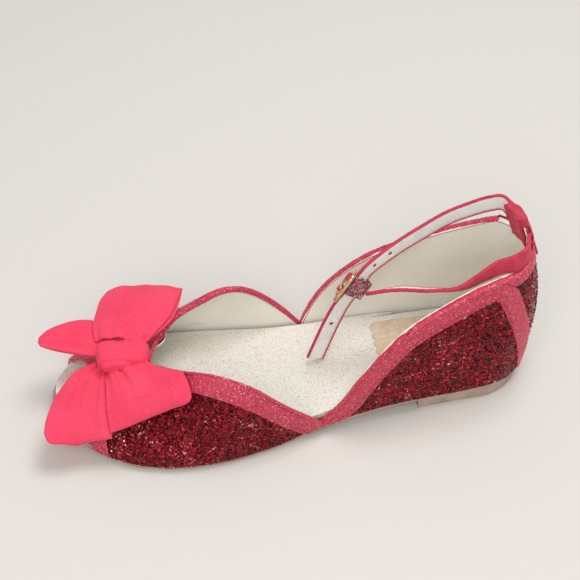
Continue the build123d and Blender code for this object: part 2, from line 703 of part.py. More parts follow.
def make_buckle():
    """The wire frame and the prong, both standing on the bar."""
    travel, width, inward = keeper_frame()
    a = math.radians(FRAME_STAND)
    up = (inward * math.cos(a) + width * math.sin(a)).normalized()
    bar = bar_centre()
    plane = Plane(origin=bar, x_dir=travel, z_dir=travel.cross(up))
    long, deep = FRAME_LONG - 2 * BAR_RADIUS, FRAME_DEEP - 2 * BAR_RADIUS
    path = plane * (Pos(0, deep / 2) * RectangleRounded(long, deep, 2.2)).face().outer_wire()
    start = path.edges()[0]
    frame = sweep(Plane(origin=start @ 0, z_dir=start % 0) * Circle(BAR_RADIUS), path=path)
    eye = plane * (Rot(0, 90, 0) * Cylinder(BAR_RADIUS + BAR_FIT + PRONG_EYE_WALL, PRONG_EYE_WIDE))
    lift = BAR_RADIUS + PRONG_RADIUS + 0.12
    tip = plane * (Pos(0, 0, lift) * (Rot(-90, 0, 0) * Cylinder(PRONG_RADIUS, deep + 1.6, align=(Align.CENTER, Align.CENTER, Align.MIN))))
    bore = plane * (Rot(0, 90, 0) * Cylinder(BAR_RADIUS + BAR_FIT, 2 * PRONG_EYE_WIDE))
    prong = (eye + tip) - bore
    return {"buckle_frame": frame, "buckle_prong": prong}


# ---------------------------------------------------------------- bow
def petal(rows):
    """One soft petal: flat oval sections that widen towards its open end."""
    points = [Vector(x, y, z) for x, y, z, _ in rows]
    sections = []
    for i, (x, y, z, wide) in enumerate(rows):
        way = (points[min(i + 1, 2)] - points[max(i - 1, 0)]).normalized()
        level_way = way.cross(Vector(0, 0, 1)).normalized()
        plane = Plane(origin=points[i], x_dir=level_way, z_dir=way)
        sections.append((plane * Ellipse(wide / 2, PETAL_THICK / 2)).face())
    return loft(sections)


def make_bow():
    room = vamp_form(BINDING_THICK + BOW_CLEARANCE)
    knot = Pos(*KNOT_CENTRE) * Box(KNOT_LONG, KNOT_WIDE, KNOT_HIGH)
    knot = fillet(knot.edges(), 3.5) - room
    made = {}
    taken = knot
    for name, rows in PETALS.items():
        piece = petal(rows) - room - taken
        taken = taken + piece
        made[f"bow_petal_{name}"] = piece
    made["bow_knot"] = knot
    return made


def build():
    """Every piece by its name."""
    made = make_bottom()
    made.update(make_vamp())
    made.update(make_quarter())
    for name in ("insole_board", "sock_foam", "sock_cover"):
        made[name] = made[name] - made["vamp"] - made["vamp_lining"]
    made["heel_tab"] = make_tab()
    made["strap_face_heel"], made["strap_lining_heel"] = make_heel_length()
    made.update(make_strap())
    made.update(make_keeper())
    made.update(make_buckle())
    made.update(make_bow())
    return {name: solid_of(shape) for name, shape in made.items()}


def main():
    os.makedirs("parts", exist_ok=True)
    for name, shape in build().items():
        export_step(shape, f"parts/{name}.step")
        print(name, [round(s.volume, 1) for s in shape.solids()])


if __name__ == "__main__":
    main()
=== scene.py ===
import math

import bmesh
import bpy
import numpy as np
from mathutils import Matrix, Vector
from mathutils.bvhtree import BVHTree


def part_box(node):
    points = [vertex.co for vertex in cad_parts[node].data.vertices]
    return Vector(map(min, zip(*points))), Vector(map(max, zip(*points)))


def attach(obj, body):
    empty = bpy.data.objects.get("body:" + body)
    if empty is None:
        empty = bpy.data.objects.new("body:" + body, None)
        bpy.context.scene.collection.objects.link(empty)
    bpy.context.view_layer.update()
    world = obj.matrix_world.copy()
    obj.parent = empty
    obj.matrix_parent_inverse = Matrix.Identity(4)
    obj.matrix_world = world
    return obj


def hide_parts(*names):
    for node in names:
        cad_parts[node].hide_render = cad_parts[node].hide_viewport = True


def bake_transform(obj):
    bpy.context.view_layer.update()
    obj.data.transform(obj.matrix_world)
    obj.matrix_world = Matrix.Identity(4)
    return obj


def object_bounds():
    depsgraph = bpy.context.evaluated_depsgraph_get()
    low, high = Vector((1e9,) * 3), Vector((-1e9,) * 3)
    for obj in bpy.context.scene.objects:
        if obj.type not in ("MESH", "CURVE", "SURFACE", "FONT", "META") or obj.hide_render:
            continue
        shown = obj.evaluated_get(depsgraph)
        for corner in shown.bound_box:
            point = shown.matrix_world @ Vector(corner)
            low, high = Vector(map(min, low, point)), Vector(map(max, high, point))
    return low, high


# A girl's left flat shoe with an open toe, glitter panels, bound edges, an ankle strap and a fabric bow.
# The sections follow the shoe as it is put together, from the sole up.
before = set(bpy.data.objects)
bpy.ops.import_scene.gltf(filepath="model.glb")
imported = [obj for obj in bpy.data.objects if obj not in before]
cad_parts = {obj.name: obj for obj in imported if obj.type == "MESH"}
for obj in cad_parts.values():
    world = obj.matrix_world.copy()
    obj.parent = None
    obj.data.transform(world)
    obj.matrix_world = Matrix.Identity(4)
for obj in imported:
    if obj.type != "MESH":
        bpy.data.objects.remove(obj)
cad_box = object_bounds()


# ---------------------------------------------------------------- heel lift and outsole
# A thin outsole and a low heel lift, moulded in synthetic rubber with a fine leather grain and
# buffed at the edge. They are stuck under the shoe and are the only parts that touch the floor.
RUBBER_EDGE = "#9C8474"
RUBBER_TREAD = "#C3AE9C"
RUBBER_GRAIN_MM = 0.9
RUBBER_SCUFF_MM = 7.0


def linear(hex_colour):
    """A colour written as sRGB hex, as the linear numbers that a shader takes."""
    parts = [int(hex_colour[i:i + 2], 16) / 255 for i in (1, 3, 5)]
    return (*[c / 12.92 if c <= 0.04045 else ((c + 0.055) / 1.055) ** 2.4 for c in parts], 1.0)


def add(tree, kind, links=None, **settings):
    """Adds a shader node, sets its properties, and fills sockets with values or other nodes' outputs."""
    node = tree.nodes.new("ShaderNode" + kind)
    for name, value in settings.items():
        setattr(node, name, value)
    for socket, source in (links or {}).items():
        if isinstance(source, bpy.types.NodeSocket):
            tree.links.new(source, node.inputs[socket])
        else:
            node.inputs[socket].default_value = source
    return node


def start(name, **surface):
    """A new material: its node tree, its shader, and the place on the shoe that its patterns read."""
    made = bpy.data.materials.new(name)
    made.use_nodes = True
    tree = made.node_tree
    shader = tree.nodes["Principled BSDF"]
    for socket, value in surface.items():
        shader.inputs[socket.replace("_", " ")].default_value = value
    place = add(tree, "TexCoord").outputs["Object"]
    return made, tree, shader, place


def per_metre(millimetres):
    """The scale of a pattern whose cells are this wide."""
    return 1000.0 / millimetres


def ramp(tree, factor, stops):
    """Colours, as hex, at shares of a pattern from 0 to 1."""
    node = add(tree, "ValToRGB", {"Fac": factor})
    while len(node.color_ramp.elements) < len(stops):
        node.color_ramp.elements.new(0.5)
    for element, (share, colour) in zip(node.color_ramp.elements, stops):
        element.position = share
        element.color = linear(colour)
    return node.outputs["Color"]


def raise_by(tree, shader, height, millimetres, strength=1.0):
    """Bump, with the real depth of the relief."""
    bump = add(tree, "Bump", {"Height": height, "Distance": millimetres / 1000, "Strength": strength})
    tree.links.new(bump.outputs["Normal"], shader.inputs["Normal"])
    return bump


def moulded_rubber(name, pale, dark):
    """Moulded synthetic rubber: dull, with a fine grain and faint scuffs that catch the light."""
    made, tree, shader, place = start(name, Roughness=0.62, IOR=1.5)
    scuff = add(tree, "TexNoise", {"Vector": place, "Scale": per_metre(RUBBER_SCUFF_MM), "Detail": 6.0})
    grain = add(tree, "TexVoronoi", {"Vector": place, "Scale": per_metre(RUBBER_GRAIN_MM)})
    colour = ramp(tree, scuff.outputs["Fac"], [(0.3, dark), (0.7, pale)])
    tree.links.new(colour, shader.inputs["Base Color"])
    raise_by(tree, shader, grain.outputs["Distance"], 0.12, 0.5)
    return made


def dress(nodes, material):
    """Gives CAD nodes their material."""
    for name in nodes:
        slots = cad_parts[name].data.materials
        slots.clear()
        slots.append(material)


dress(["outsole"], moulded_rubber("moulded_rubber_sole", RUBBER_TREAD, RUBBER_EDGE))
dress(["heel_lift"], moulded_rubber("moulded_rubber_lift", "#BDA696", "#A08A7B"))


# ---------------------------------------------------------------- inside the bottom
# Cork filler, a steel shank, a fibre board and a foam sheet, all hidden once the shoe is closed.
# They are cut flat and cemented in layers under the sock.
HIDDEN = {
    "bottom_filler": ("agglomerated_cork", "#B08A5E", "#7E5C3A", 1.6, 0.85),
    "insole_board": ("pressed_fibre_board", "#B9A489", "#A08B70", 0.8, 0.9),
    "sock_foam": ("latex_foam", "#E9E2C8", "#D9D0B2", 0.5, 0.95),
    "heel_counter": ("moulded_fibre_counter", "#CFC3AC", "#BBAE96", 0.7, 0.85),
    "quarter_interlining": ("bonded_fleece", "#E4E0D6", "#D3CEC2", 0.5, 0.95),
}
for node, (name, pale, dark, grain_mm, rough) in HIDDEN.items():
    made, tree, shader, place = start(name, Roughness=rough)
    grain = add(tree, "TexVoronoi", {"Vector": place, "Scale": per_metre(grain_mm)})
    colour = ramp(tree, grain.outputs["Distance"], [(0.1, pale), (0.7, dark)])
    tree.links.new(colour, shader.inputs["Base Color"])
    raise_by(tree, shader, grain.outputs["Distance"], 0.15)
    dress([node], made)

spring_steel, tree, shader, place = start("rolled_spring_steel", Metallic=1.0, Roughness=0.38)
brushed = add(tree, "Mapping", {"Vector": place, "Scale": (80.0, 5000.0, 5000.0)})
lines = add(tree, "TexNoise", {"Vector": brushed.outputs["Vector"], "Scale": 1.0, "Detail": 3.0})
colour = ramp(tree, lines.outputs["Fac"], [(0.3, "#8F9296"), (0.7, "#B5B8BC")])
tree.links.new(colour, shader.inputs["Base Color"])
dress(["shank"], spring_steel)


# ---------------------------------------------------------------- sock cover
# The footbed is covered with a plain-woven cotton and linen cloth, off-white with grey and brown
# slubs, glued over the foam. Its real thread spacing is 0.5 mm, drawn at 0.65 so that it shows.
THREAD_MM = 0.65
linen, tree, shader, place = start("woven_linen", Roughness=0.9, Sheen_Weight=0.15, Sheen_Roughness=0.5)
threads = []
for across, along in (("X", (1.3, 0.5, 1.0)), ("Y", (0.5, 1.3, 1.0))):
    line = add(tree, "TexWave", {"Vector": place, "Scale": per_metre(THREAD_MM) / (2 * math.pi) * 1.6,
                                 "Distortion": 0.9, "Detail": 1.0, "Detail Scale": 2.0},
               wave_type="BANDS", bands_direction=across, wave_profile="SIN")
    stretched = add(tree, "Mapping", {"Vector": place, "Scale": along})
    slub = add(tree, "TexNoise", {"Vector": stretched.outputs["Vector"], "Scale": per_metre(THREAD_MM) * 0.9,
                                  "Detail": 2.0})
    threads.append((line.outputs["Fac"], slub.outputs["Fac"]))
over = add(tree, "Math", {0: threads[0][0], 1: threads[1][0]}, operation="MAXIMUM").outputs[0]
slubs = add(tree, "Math", {0: threads[0][1], 1: threads[1][1]}, operation="MINIMUM").outputs[0]
yarn = ramp(tree, slubs, [(0.26, "#C2B9AA"), (0.34, "#DCD7CC"), (0.42, "#E9E6DC"), (0.6, "#F0EDE5")])
# Where the threads dip, the cloth is darkened with painted shade.
shade = ramp(tree, over, [(0.35, "#D2CDC2"), (0.75, "#FFFFFF")])
cloth = add(tree, "Mix", {0: 0.6, 6: yarn, 7: shade}, data_type="RGBA", blend_type="MULTIPLY")
tree.links.new(cloth.outputs[2], shader.inputs["Base Color"])
raise_by(tree, shader, over, 0.18, 0.7)
dress(["sock_cover"], linen)


# ---------------------------------------------------------------- heel pad
# A patch of tan patent film over thin felt, with a scalloped front edge, stuck on the cloth under
# the heel. It is glossy and slightly puckered, so the light breaks up over it, and its colour is
# painted lighter on the pucker crests and darker in the hollows, as painted highlight and shade.
PAD_PUCKER_MM = 6.0
patent, tree, shader, place = start("patent_film", Roughness=0.24, IOR=1.5, Coat_Weight=0.8,
                                    Coat_Roughness=0.08)
puckers = add(tree, "TexNoise", {"Vector": place, "Scale": per_metre(PAD_PUCKER_MM), "Detail": 4.0,
                                 "Distortion": 1.2})
# Lighter on the pucker crests and darker in the hollows: painted highlight and shade.
colour = ramp(tree, puckers.outputs["Fac"], [(0.3, "#C6AE94"), (0.55, "#D4BFA6"), (0.75, "#DECDB6")])
tree.links.new(colour, shader.inputs["Base Color"])
raise_by(tree, shader, puckers.outputs["Fac"], 1.1, 0.7)
dress(["heel_pad"], patent)


# ---------------------------------------------------------------- linings
# Thin cream synthetic leather with a brushed face lines the vamp and the quarter. It is glued
# smooth, with a fine pebble and a few shallow creases where it turns round the heel.
LINING_PEBBLE_MM = 0.7
LINING_CREASE_MM = 18.0
lining, tree, shader, place = start("coated_lining", Roughness=0.72, IOR=1.45)
pebble = add(tree, "TexVoronoi", {"Vector": place, "Scale": per_metre(LINING_PEBBLE_MM)})
crease = add(tree, "TexNoise", {"Vector": place, "Scale": per_metre(LINING_CREASE_MM), "Detail": 5.0,
                                "Distortion": 0.6})
colour = ramp(tree, crease.outputs["Fac"], [(0.3, "#EEEDE0"), (0.6, "#F4F3E9"), (0.8, "#F8F7F0")])
tree.links.new(colour, shader.inputs["Base Color"])
deep = add(tree, "Bump", {"Height": crease.outputs["Fac"], "Distance": 0.0016, "Strength": 0.35})
fine = raise_by(tree, shader, pebble.outputs["Distance"], 0.05, 0.35)
tree.links.new(deep.outputs["Normal"], fine.inputs["Normal"])
dress(["vamp_lining", "quarter_lining"], lining)


# ---------------------------------------------------------------- glitter panels
# The vamp, both side panels and the heel are cut from a red cloth covered with polyester flakes
# under clear resin. The flakes are 0.4 mm, drawn at 0.75 so that single ones show, and each lies
# at its own tilt: most are dark and some flash red; the few pink and pink-white ones are painted sparkle.
FLAKE_MM = 0.75
FLAKE_TILT = 0.95
# The top two stops, pink and pink-white, are painted sparkle set in the flakes' own colour.
FLAKE_TONES_AND_PAINTED_SPARKLE = [(0.0, "#3A0209"), (0.25, "#5C0410"), (0.5, "#800818"), (0.72, "#A50E24"),
                 (0.88, "#CC1F38"), (0.97, "#EC5468"), (0.993, "#FFC4C8")]


def glitter_cloth(name, flake_mm, tilt, colours, regular=1.0, **surface):
    """Polyester flakes in resin: facets of random tilt and tone, metallic, with a hard gloss."""
    made, tree, shader, place = start(name, **surface)
    flakes = add(tree, "TexVoronoi", {"Vector": place, "Scale": per_metre(flake_mm), "Randomness": regular})
    parts = add(tree, "SeparateColor", {"Color": flakes.outputs["Color"]})
    patches = add(tree, "TexNoise", {"Vector": place, "Scale": per_metre(9.0), "Detail": 2.0})
    tone = add(tree, "MapRange", {"Value": patches.outputs["Fac"], 1: 0.3, 2: 0.7, 3: -0.16, 4: 0.08})
    pick = add(tree, "Math", {0: parts.outputs[0], 1: tone.outputs[0]}, operation="ADD", use_clamp=True)
    tree.links.new(ramp(tree, pick.outputs[0], colours), shader.inputs["Base Color"])
    gloss = add(tree, "MapRange", {"Value": parts.outputs[1], 3: 0.16, 4: 0.5})
    tree.links.new(gloss.outputs[0], shader.inputs["Roughness"])
    middle = add(tree, "VectorMath", {0: flakes.outputs["Color"], 1: (0.5, 0.5, 0.5)}, operation="SUBTRACT")
    lean = add(tree, "VectorMath", {0: middle.outputs[0], "Scale": 2 * tilt}, operation="SCALE")
    facing = add(tree, "NewGeometry").outputs["Normal"]
    facet = add(tree, "VectorMath", {0: facing, 1: lean.outputs[0]}, operation="ADD")
    unit = add(tree, "VectorMath", {0: facet.outputs[0]}, operation="NORMALIZE")
    tree.links.new(unit.outputs[0], shader.inputs["Normal"])
    return made


glitter = glitter_cloth("glitter_cloth", FLAKE_MM, FLAKE_TILT, FLAKE_TONES_AND_PAINTED_SPARKLE,
                        Metallic=0.7, Coat_Weight=0.08, Coat_Roughness=0.3)
GLITTER_NODES = ["vamp", "quarter_outer", "quarter_inner", "back_panel"]
dress(GLITTER_NODES, glitter)

# Loose-lying larger flakes stand up out of the resin all over the panels, as real facets.
BIG_FLAKE = (0.00042, 0.00012)
MM2_PER_BIG_FLAKE = 2.2
FLAKE_SEED = 11


def triangles(obj):
    """Corners of a mesh's triangles, and each one's normal and area."""
    obj.data.calc_loop_triangles()
    points = np.array([v.co for v in obj.data.vertices])
    corners = points[np.array([t.vertices for t in obj.data.loop_triangles])]
    cross = np.cross(corners[:, 1] - corners[:, 0], corners[:, 2] - corners[:, 0])
    size = np.linalg.norm(cross, axis=1)
    return corners, cross / np.maximum(size, 1e-12)[:, None], size / 2


def make_piece(name, points, faces, material, smooth=True):
    """A mesh object from points in metres."""
    mesh = bpy.data.meshes.new(name)
    mesh.from_pydata([tuple(p) for p in points], [], [tuple(f) for f in faces])
    mesh.validate()
    mesh.materials.append(material)
    mesh.polygons.foreach_set("use_smooth", [smooth] * len(mesh.polygons))
    made = bpy.data.objects.new(name, mesh)
    bpy.context.scene.collection.objects.link(made)
    return made


def surface_of(*objects):
    """One tree of the surfaces of several objects, for finding the nearest point or a hit."""
    points, faces = [], []
    for obj in objects:
        start_at = len(points)
        points += [v.co.copy() for v in obj.data.vertices]
        faces += [[start_at + i for i in p.vertices] for p in obj.data.polygons]
    return BVHTree.FromPolygons(points, faces)


def big_flakes(node, rng, covered):
    """Flat hexagonal chips, half sunk, at random tilts over a panel's outside."""
    corners, normals, areas = triangles(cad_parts[node])
    middle = corners.mean(axis=1)
    low, high = (np.array(c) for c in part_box(node))
    heart = np.array([(low[0] + high[0]) / 2 if node != "back_panel" else 0.02, 0.0, 0.01])
    outward = middle - heart
    outward[:, 0] *= 0.15 if node != "back_panel" else 1.0
    areas = np.where((normals * outward).sum(axis=1) > 0.4 * np.linalg.norm(outward, axis=1), areas, 0)
    count = int(areas.sum() * 1e6 / MM2_PER_BIG_FLAKE)
    chosen = rng.choice(len(areas), count, p=areas / areas.sum())
    a, b = rng.random(count), rng.random(count)
    flip = a + b > 1
    a[flip], b[flip] = 1 - a[flip], 1 - b[flip]
    at = corners[chosen, 0] + a[:, None] * (corners[chosen, 1] - corners[chosen, 0]) \
        + b[:, None] * (corners[chosen, 2] - corners[chosen, 0])
    tilt = normals[chosen] + rng.normal(0, 0.42, (count, 3))
    points, faces = [], []
    for place, face in zip(at, tilt / np.linalg.norm(tilt, axis=1)[:, None]):
        if covered.find_nearest(Vector(place), 0.0007)[0] is not None:
            continue
        side = np.cross(face, [0.3, 0.5, 0.81])
        side /= np.linalg.norm(side)
        other = np.cross(face, side)
        first = len(points)
        for level in (-1, 1):
            for k in range(6):
                turn = k * math.pi / 3
                points.append(place + BIG_FLAKE[0] * (math.cos(turn) * side + math.sin(turn) * other)
                              + level * BIG_FLAKE[1] / 2 * face)
        faces.append([first + k for k in reversed(range(6))])
        faces.append([first + 6 + k for k in range(6)])
        faces += [[first + k, first + (k + 1) % 6, first + 6 + (k + 1) % 6, first + 6 + k] for k in range(6)]
    return points, faces


BOUND = ["vamp_topline_binding", "toe_binding", "quarter_binding_outer", "quarter_binding_inner",
         "collar_binding", "heel_tab"]
# The chips take the same flake colours, so some carry the painted sparkle.
big_glitter = glitter_cloth("glitter_chips", 0.9, 0.0, FLAKE_TONES_AND_PAINTED_SPARKLE, Metallic=0.85)
rng = np.random.default_rng(FLAKE_SEED)
covered = surface_of(*[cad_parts[n] for n in BOUND])
for node in GLITTER_NODES:
    points, faces = big_flakes(node, rng, covered)
    chips = make_piece(node + "_chips", points, faces, big_glitter, smooth=False)
    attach(chips, "shoe")


# ---------------------------------------------------------------- bindings
# Bias strips of crimson shimmer cloth cover every cut edge: round the low-cut vamp, the open toe,
# both side panels and the heel rim. They are folded over a soft cord of turned cloth, pressed,
# and held by one row of stitches near the inner edge, so the cloth puckers a little.
BINDING_VOXEL = 0.00035
PUCKER_MM = 0.12
STITCH_STEP = 0.0027
STITCH_LONG = 0.0019
STITCH_THICK = 0.0005
SEAM_DEEP = 0.00034
SEAM_HALF = 0.00042
SEAM_RIDGE = 0.00022
shimmer, tree, shader, place = start("shimmer_satin", Roughness=0.42, IOR=1.5, Sheen_Weight=0.35,
                                     Sheen_Roughness=0.4, Sheen_Tint=linear("#FF8FA0"))
weave = add(tree, "TexVoronoi", {"Vector": place, "Scale": per_metre(0.42)})
grains = add(tree, "SeparateColor", {"Color": weave.outputs["Color"]})
soft = add(tree, "TexNoise", {"Vector": place, "Scale": per_metre(5.0), "Detail": 5.0})
base = ramp(tree, soft.outputs["Fac"], [(0.3, "#B61F3F"), (0.55, "#CB2B4B"), (0.8, "#D83857")])
# The pink and pink-white cells at the top of this ramp are painted sparkle; the same cells are also made more
# metallic.
cell_tone_and_painted_sparkle = ramp(tree, grains.outputs[0], [(0.0, "#9C1C38"), (0.35, "#C02C4B"), (0.8, "#D44560"),
                                       (0.93, "#EE8494"), (0.98, "#FFD9DB")])
mixed = add(tree, "Mix", {0: 0.55, 6: base, 7: cell_tone_and_painted_sparkle}, data_type="RGBA")
tree.links.new(mixed.outputs[2], shader.inputs["Base Color"])
shine = add(tree, "MapRange", {"Value": grains.outputs[1], 3: 0.28, 4: 0.62})
tree.links.new(shine.outputs[0], shader.inputs["Roughness"])
metal = add(tree, "MapRange", {"Value": grains.outputs[0], 1: 0.8, 2: 0.95, 3: 0.05, 4: 0.6})
tree.links.new(metal.outputs[0], shader.inputs["Metallic"])
relief = add(tree, "Math", {0: soft.outputs["Fac"], 1: weave.outputs["Distance"]}, operation="ADD")
raise_by(tree, shader, relief.outputs[0], 0.25, 0.6)

thread, tree, shader, place = start("polyester_thread", Roughness=0.5, Sheen_Weight=0.2)
twist = add(tree, "TexNoise", {"Vector": place, "Scale": per_metre(0.5), "Detail": 2.0})
colour = ramp(tree, twist.outputs["Fac"], [(0.3, "#A3203C"), (0.7, "#CB3E58")])
tree.links.new(colour, shader.inputs["Base Color"])


def vertex_table(mesh):
    """A mesh's points and normals as rows of numbers."""
    points, normals = np.zeros(len(mesh.vertices) * 3), np.zeros(len(mesh.vertices) * 3)
    mesh.vertices.foreach_get("co", points)
    mesh.vertices.foreach_get("normal", normals)
    return points.reshape(-1, 3), normals.reshape(-1, 3)


def moved_to(mesh, points):
    mesh.vertices.foreach_set("co", points.ravel())
    mesh.update()


def applied(obj):
    """The mesh of an object with its modifiers made real."""
    bpy.context.view_layer.update()
    seen = obj.evaluated_get(bpy.context.evaluated_depsgraph_get())
    mesh = bpy.data.meshes.new_from_object(seen)
    obj.modifiers.clear()
    obj.data = mesh
    return obj


def softened(name, node, material, voxel, rounds, pucker_mm=0.0, wave_mm=3.0):
    """A sewn cloth version of a CAD solid: its edges rounded off and its surface slightly puckered."""
    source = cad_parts[node]
    obj = bpy.data.objects.new(name, source.data.copy())
    bpy.context.scene.collection.objects.link(obj)
    obj.data.materials.clear()
    obj.data.materials.append(material)
    remesh = obj.modifiers.new("remesh", "REMESH")
    remesh.mode = "VOXEL"
    remesh.voxel_size = voxel
    smooth = obj.modifiers.new("smooth", "SMOOTH")
    smooth.factor = 0.5
    smooth.iterations = rounds
    applied(obj)
    mesh = obj.data
    mesh.polygons.foreach_set("use_smooth", [True] * len(mesh.polygons))
    if pucker_mm:
        points, normals = vertex_table(mesh)
        wave = points * (2 * math.pi / (wave_mm / 1000))
        lift = np.sin(wave[:, 0] + 1.3 * np.sin(wave[:, 1] * 0.4)) \
            * np.sin(wave[:, 2] * 0.8 + wave[:, 1] * 0.6)
        moved_to(mesh, points + normals * (lift * pucker_mm / 1000)[:, None])
    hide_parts(node)
    return obj


def line_through(points, shares):
    """Points at shares from 0 to 1 along a smooth line through the given points."""
    p = np.array(points, float)
    at = np.concatenate([[0], np.cumsum(np.linalg.norm(np.diff(p, axis=0), axis=1))])
    slope = np.gradient(p, at, axis=0)
    t = np.asarray(shares) * at[-1]
    i = np.clip(np.searchsorted(at, t, side="right") - 1, 0, len(at) - 2)
    step = (at[i + 1] - at[i])[:, None]
    f = (t - at[i])[:, None] / step
    return ((1 + 2 * f) * (1 - f) ** 2 * p[i] + f * (1 - f) ** 2 * step * slope[i]
            + f ** 2 * (3 - 2 * f) * p[i + 1] + f ** 2 * (f - 1) * step * slope[i + 1])


def pressed_seam(cloth, path):
    """The cloth drawn in along its seam, with a low ridge on each side."""
    points, normals = vertex_table(cloth.data)
    far = np.full(len(points), 1.0)
    for spot in np.array(path):
        far = np.minimum(far, np.linalg.norm(points - spot, axis=1))
    drawn_in = SEAM_DEEP * np.exp(-(far / SEAM_HALF) ** 2)
    ridge = SEAM_RIDGE * np.exp(-((far - 2.4 * SEAM_HALF) / SEAM_HALF) ** 2)
    moved_to(cloth.data, points + normals * (ridge - drawn_in)[:, None])


def stitch_row(name, path, cloth):
    """A row of lockstitches along a path in metres, laid on the cloth and pulled down at their ends."""
    pressed_seam(cloth, path)
    tree_of_cloth = surface_of(cloth)
    long = np.linalg.norm(np.diff(path, axis=0), axis=1).sum()
    points, faces = [], []
    sides, rings = 6, 5
    for k in range(int(long / STITCH_STEP)):
        ends = line_through(path, np.clip([(k * STITCH_STEP + d) / long for d in (0, STITCH_LONG)], 0, 1))
        middle, normal, _, far = tree_of_cloth.find_nearest(Vector(ends.mean(axis=0)))
        if middle is None or far > 0.0025:
            continue
        way = Vector(ends[1] - ends[0])
        way = (way - normal * way.dot(normal)).normalized()
        side = normal.cross(way)
        first = len(points)
        for ring in range(rings):
            f = 2 * ring / (rings - 1) - 1
            radius = STITCH_THICK / 2 * (1 - 0.55 * f * f)
            centre = middle + way * (f * STITCH_LONG / 2) + normal * (0.00016 - 0.00042 * f * f)
            for s in range(sides):
                turn = 2 * math.pi * s / sides
                points.append(centre + radius * (math.cos(turn) * side + math.sin(turn) * normal))
        for ring in range(rings - 1):
            for s in range(sides):
                a, b = first + ring * sides + s, first + ring * sides + (s + 1) % sides
                faces.append([a, b, b + sides, a + sides])
        faces.append([first + s for s in reversed(range(sides))])
        faces.append([first + (rings - 1) * sides + s for s in range(sides)])
    row = make_piece(name, points, faces, thread)
    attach(row, "shoe")


bound = {}
for node in ["vamp_topline_binding", "toe_binding", "quarter_binding_outer", "quarter_binding_inner",
             "collar_binding"]:
    strip = softened(node + "_cloth", node, shimmer, BINDING_VOXEL, 4, PUCKER_MM)
    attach(strip, "shoe")
    bound[node] = strip

# The seam lines, in millimetres, run near the inner edge of each binding.
VAMP_SEAMS = {
    "outer": [(77.7, 32.2, 3.7), (84.3, 34.0, 11.2), (90.6, 35.2, 18.5), (97.0, 35.9, 26.0), (103.7, 35.8, 33.1),
              (111.3, 34.2, 37.1), (118.9, 29.9, 38.1), (125.7, 25.4, 36.8), (132.0, 20.7, 34.7),
              (137.7, 15.8, 32.5), (142.9, 10.7, 30.3), (147.6, 5.6, 28.1)],
    "inner": [(78.3, -30.5, 5.4), (84.9, -31.6, 15.2), (91.0, -31.9, 23.7), (97.1, -31.5, 31.0),
              (103.3, -30.7, 36.1), (109.2, -29.1, 38.1), (115.2, -27.6, 35.5), (122.7, -26.8, 32.1),
              (131.6, -23.9, 30.5), (138.1, -17.9, 30.5), (143.4, -12.3, 29.3), (148.7, -3.6, 28.0)],
}
for side, seam in VAMP_SEAMS.items():
    stitch_row("vamp_stitches_" + side, line_through(np.array(seam) / 1000, np.linspace(0, 1, 60)),
               bound["vamp_topline_binding"])

# The side panels' seams are drawn from the side, forward and up, and carried across to the panel.
PANEL_SEAMS = {
    "outer": [(66.5, 5.0), (58.4, 12.5), (49.8, 25.6), (42.1, 36.4), (34.4, 44.2), (27.0, 48.9), (18.8, 52.6),
              (10.4, 56.2), (4.2, 58.4), (-1.5, 59.6), (-5.2, 58.2), (-7.6, 54.6), (-9.4, 50.0), (-12.7, 35.2),
              (-16.0, 19.2), (-18.8, 6.5)],
    "inner": [(66.5, 5.5), (60.5, 15.8), (57.5, 21.1), (53.4, 26.9), (48.2, 32.9), (42.2, 38.9), (36.6, 43.8),
              (26.8, 49.9), (18.5, 54.0), (9.5, 57.6), (2.6, 59.6), (-2.2, 60.2), (-5.6, 58.4), (-7.8, 54.6),
              (-9.4, 50.0), (-12.7, 35.2), (-16.0, 19.2), (-18.8, 6.5)],
}
BESIDE = 0.06
for side, seam in PANEL_SEAMS.items():
    strip = bound["quarter_binding_" + side]
    hand = 1 if side == "outer" else -1
    seen = surface_of(strip)
    drawn = line_through([(x / 1000, 0, z / 1000) for x, z in seam], np.linspace(0, 1, 150))
    path = []
    for x, _, z in drawn:
        hit = seen.ray_cast(Vector((x, hand * BESIDE, z)), Vector((0, -hand, 0)))[0]
        if hit is not None and hit.y * hand > 0:
            path.append(hit)
    stitch_row("panel_stitches_" + side, np.array(path), strip)


# ---------------------------------------------------------------- rolled edges
# Where the shoe is open, the bias strip turns over the cut edge and down on to the lining, so the
# rim is a soft roll of the same cloth as thick as all the layers that it closes.
ROLL_TALL = 0.00085
ROLL_SIDES = 12
RIM_TILT = math.tan(math.radians(10.0))
RIM_HEIGHT = 0.0715
ROLL_DROP = 0.0006
QUARTER_WALL = 0.00185
VAMP_WALL = 0.00138
VAMP_MIDDLE = 0.00055
QUARTER_EDGE = {
    1: [(71.5, 7.0), (64.3, 14.6), (55.9, 29.4), (47.6, 41.0), (39, 49.8), (30.4, 55.2), (21.7, 59.2),
        (13.1, 62.9), (4.7, 66.2), (-4, 68.3), (-12, 70.5)],
    -1: [(71.5, 7.0), (67.1, 18.8), (63.6, 25.0), (59.1, 31.4), (53.5, 37.8), (47.1, 44.2), (40.8, 49.6),
         (30.4, 56.2), (21.4, 60.6), (12, 64.4), (2, 67.8), (-6, 70.3), (-12, 73.0)],
}
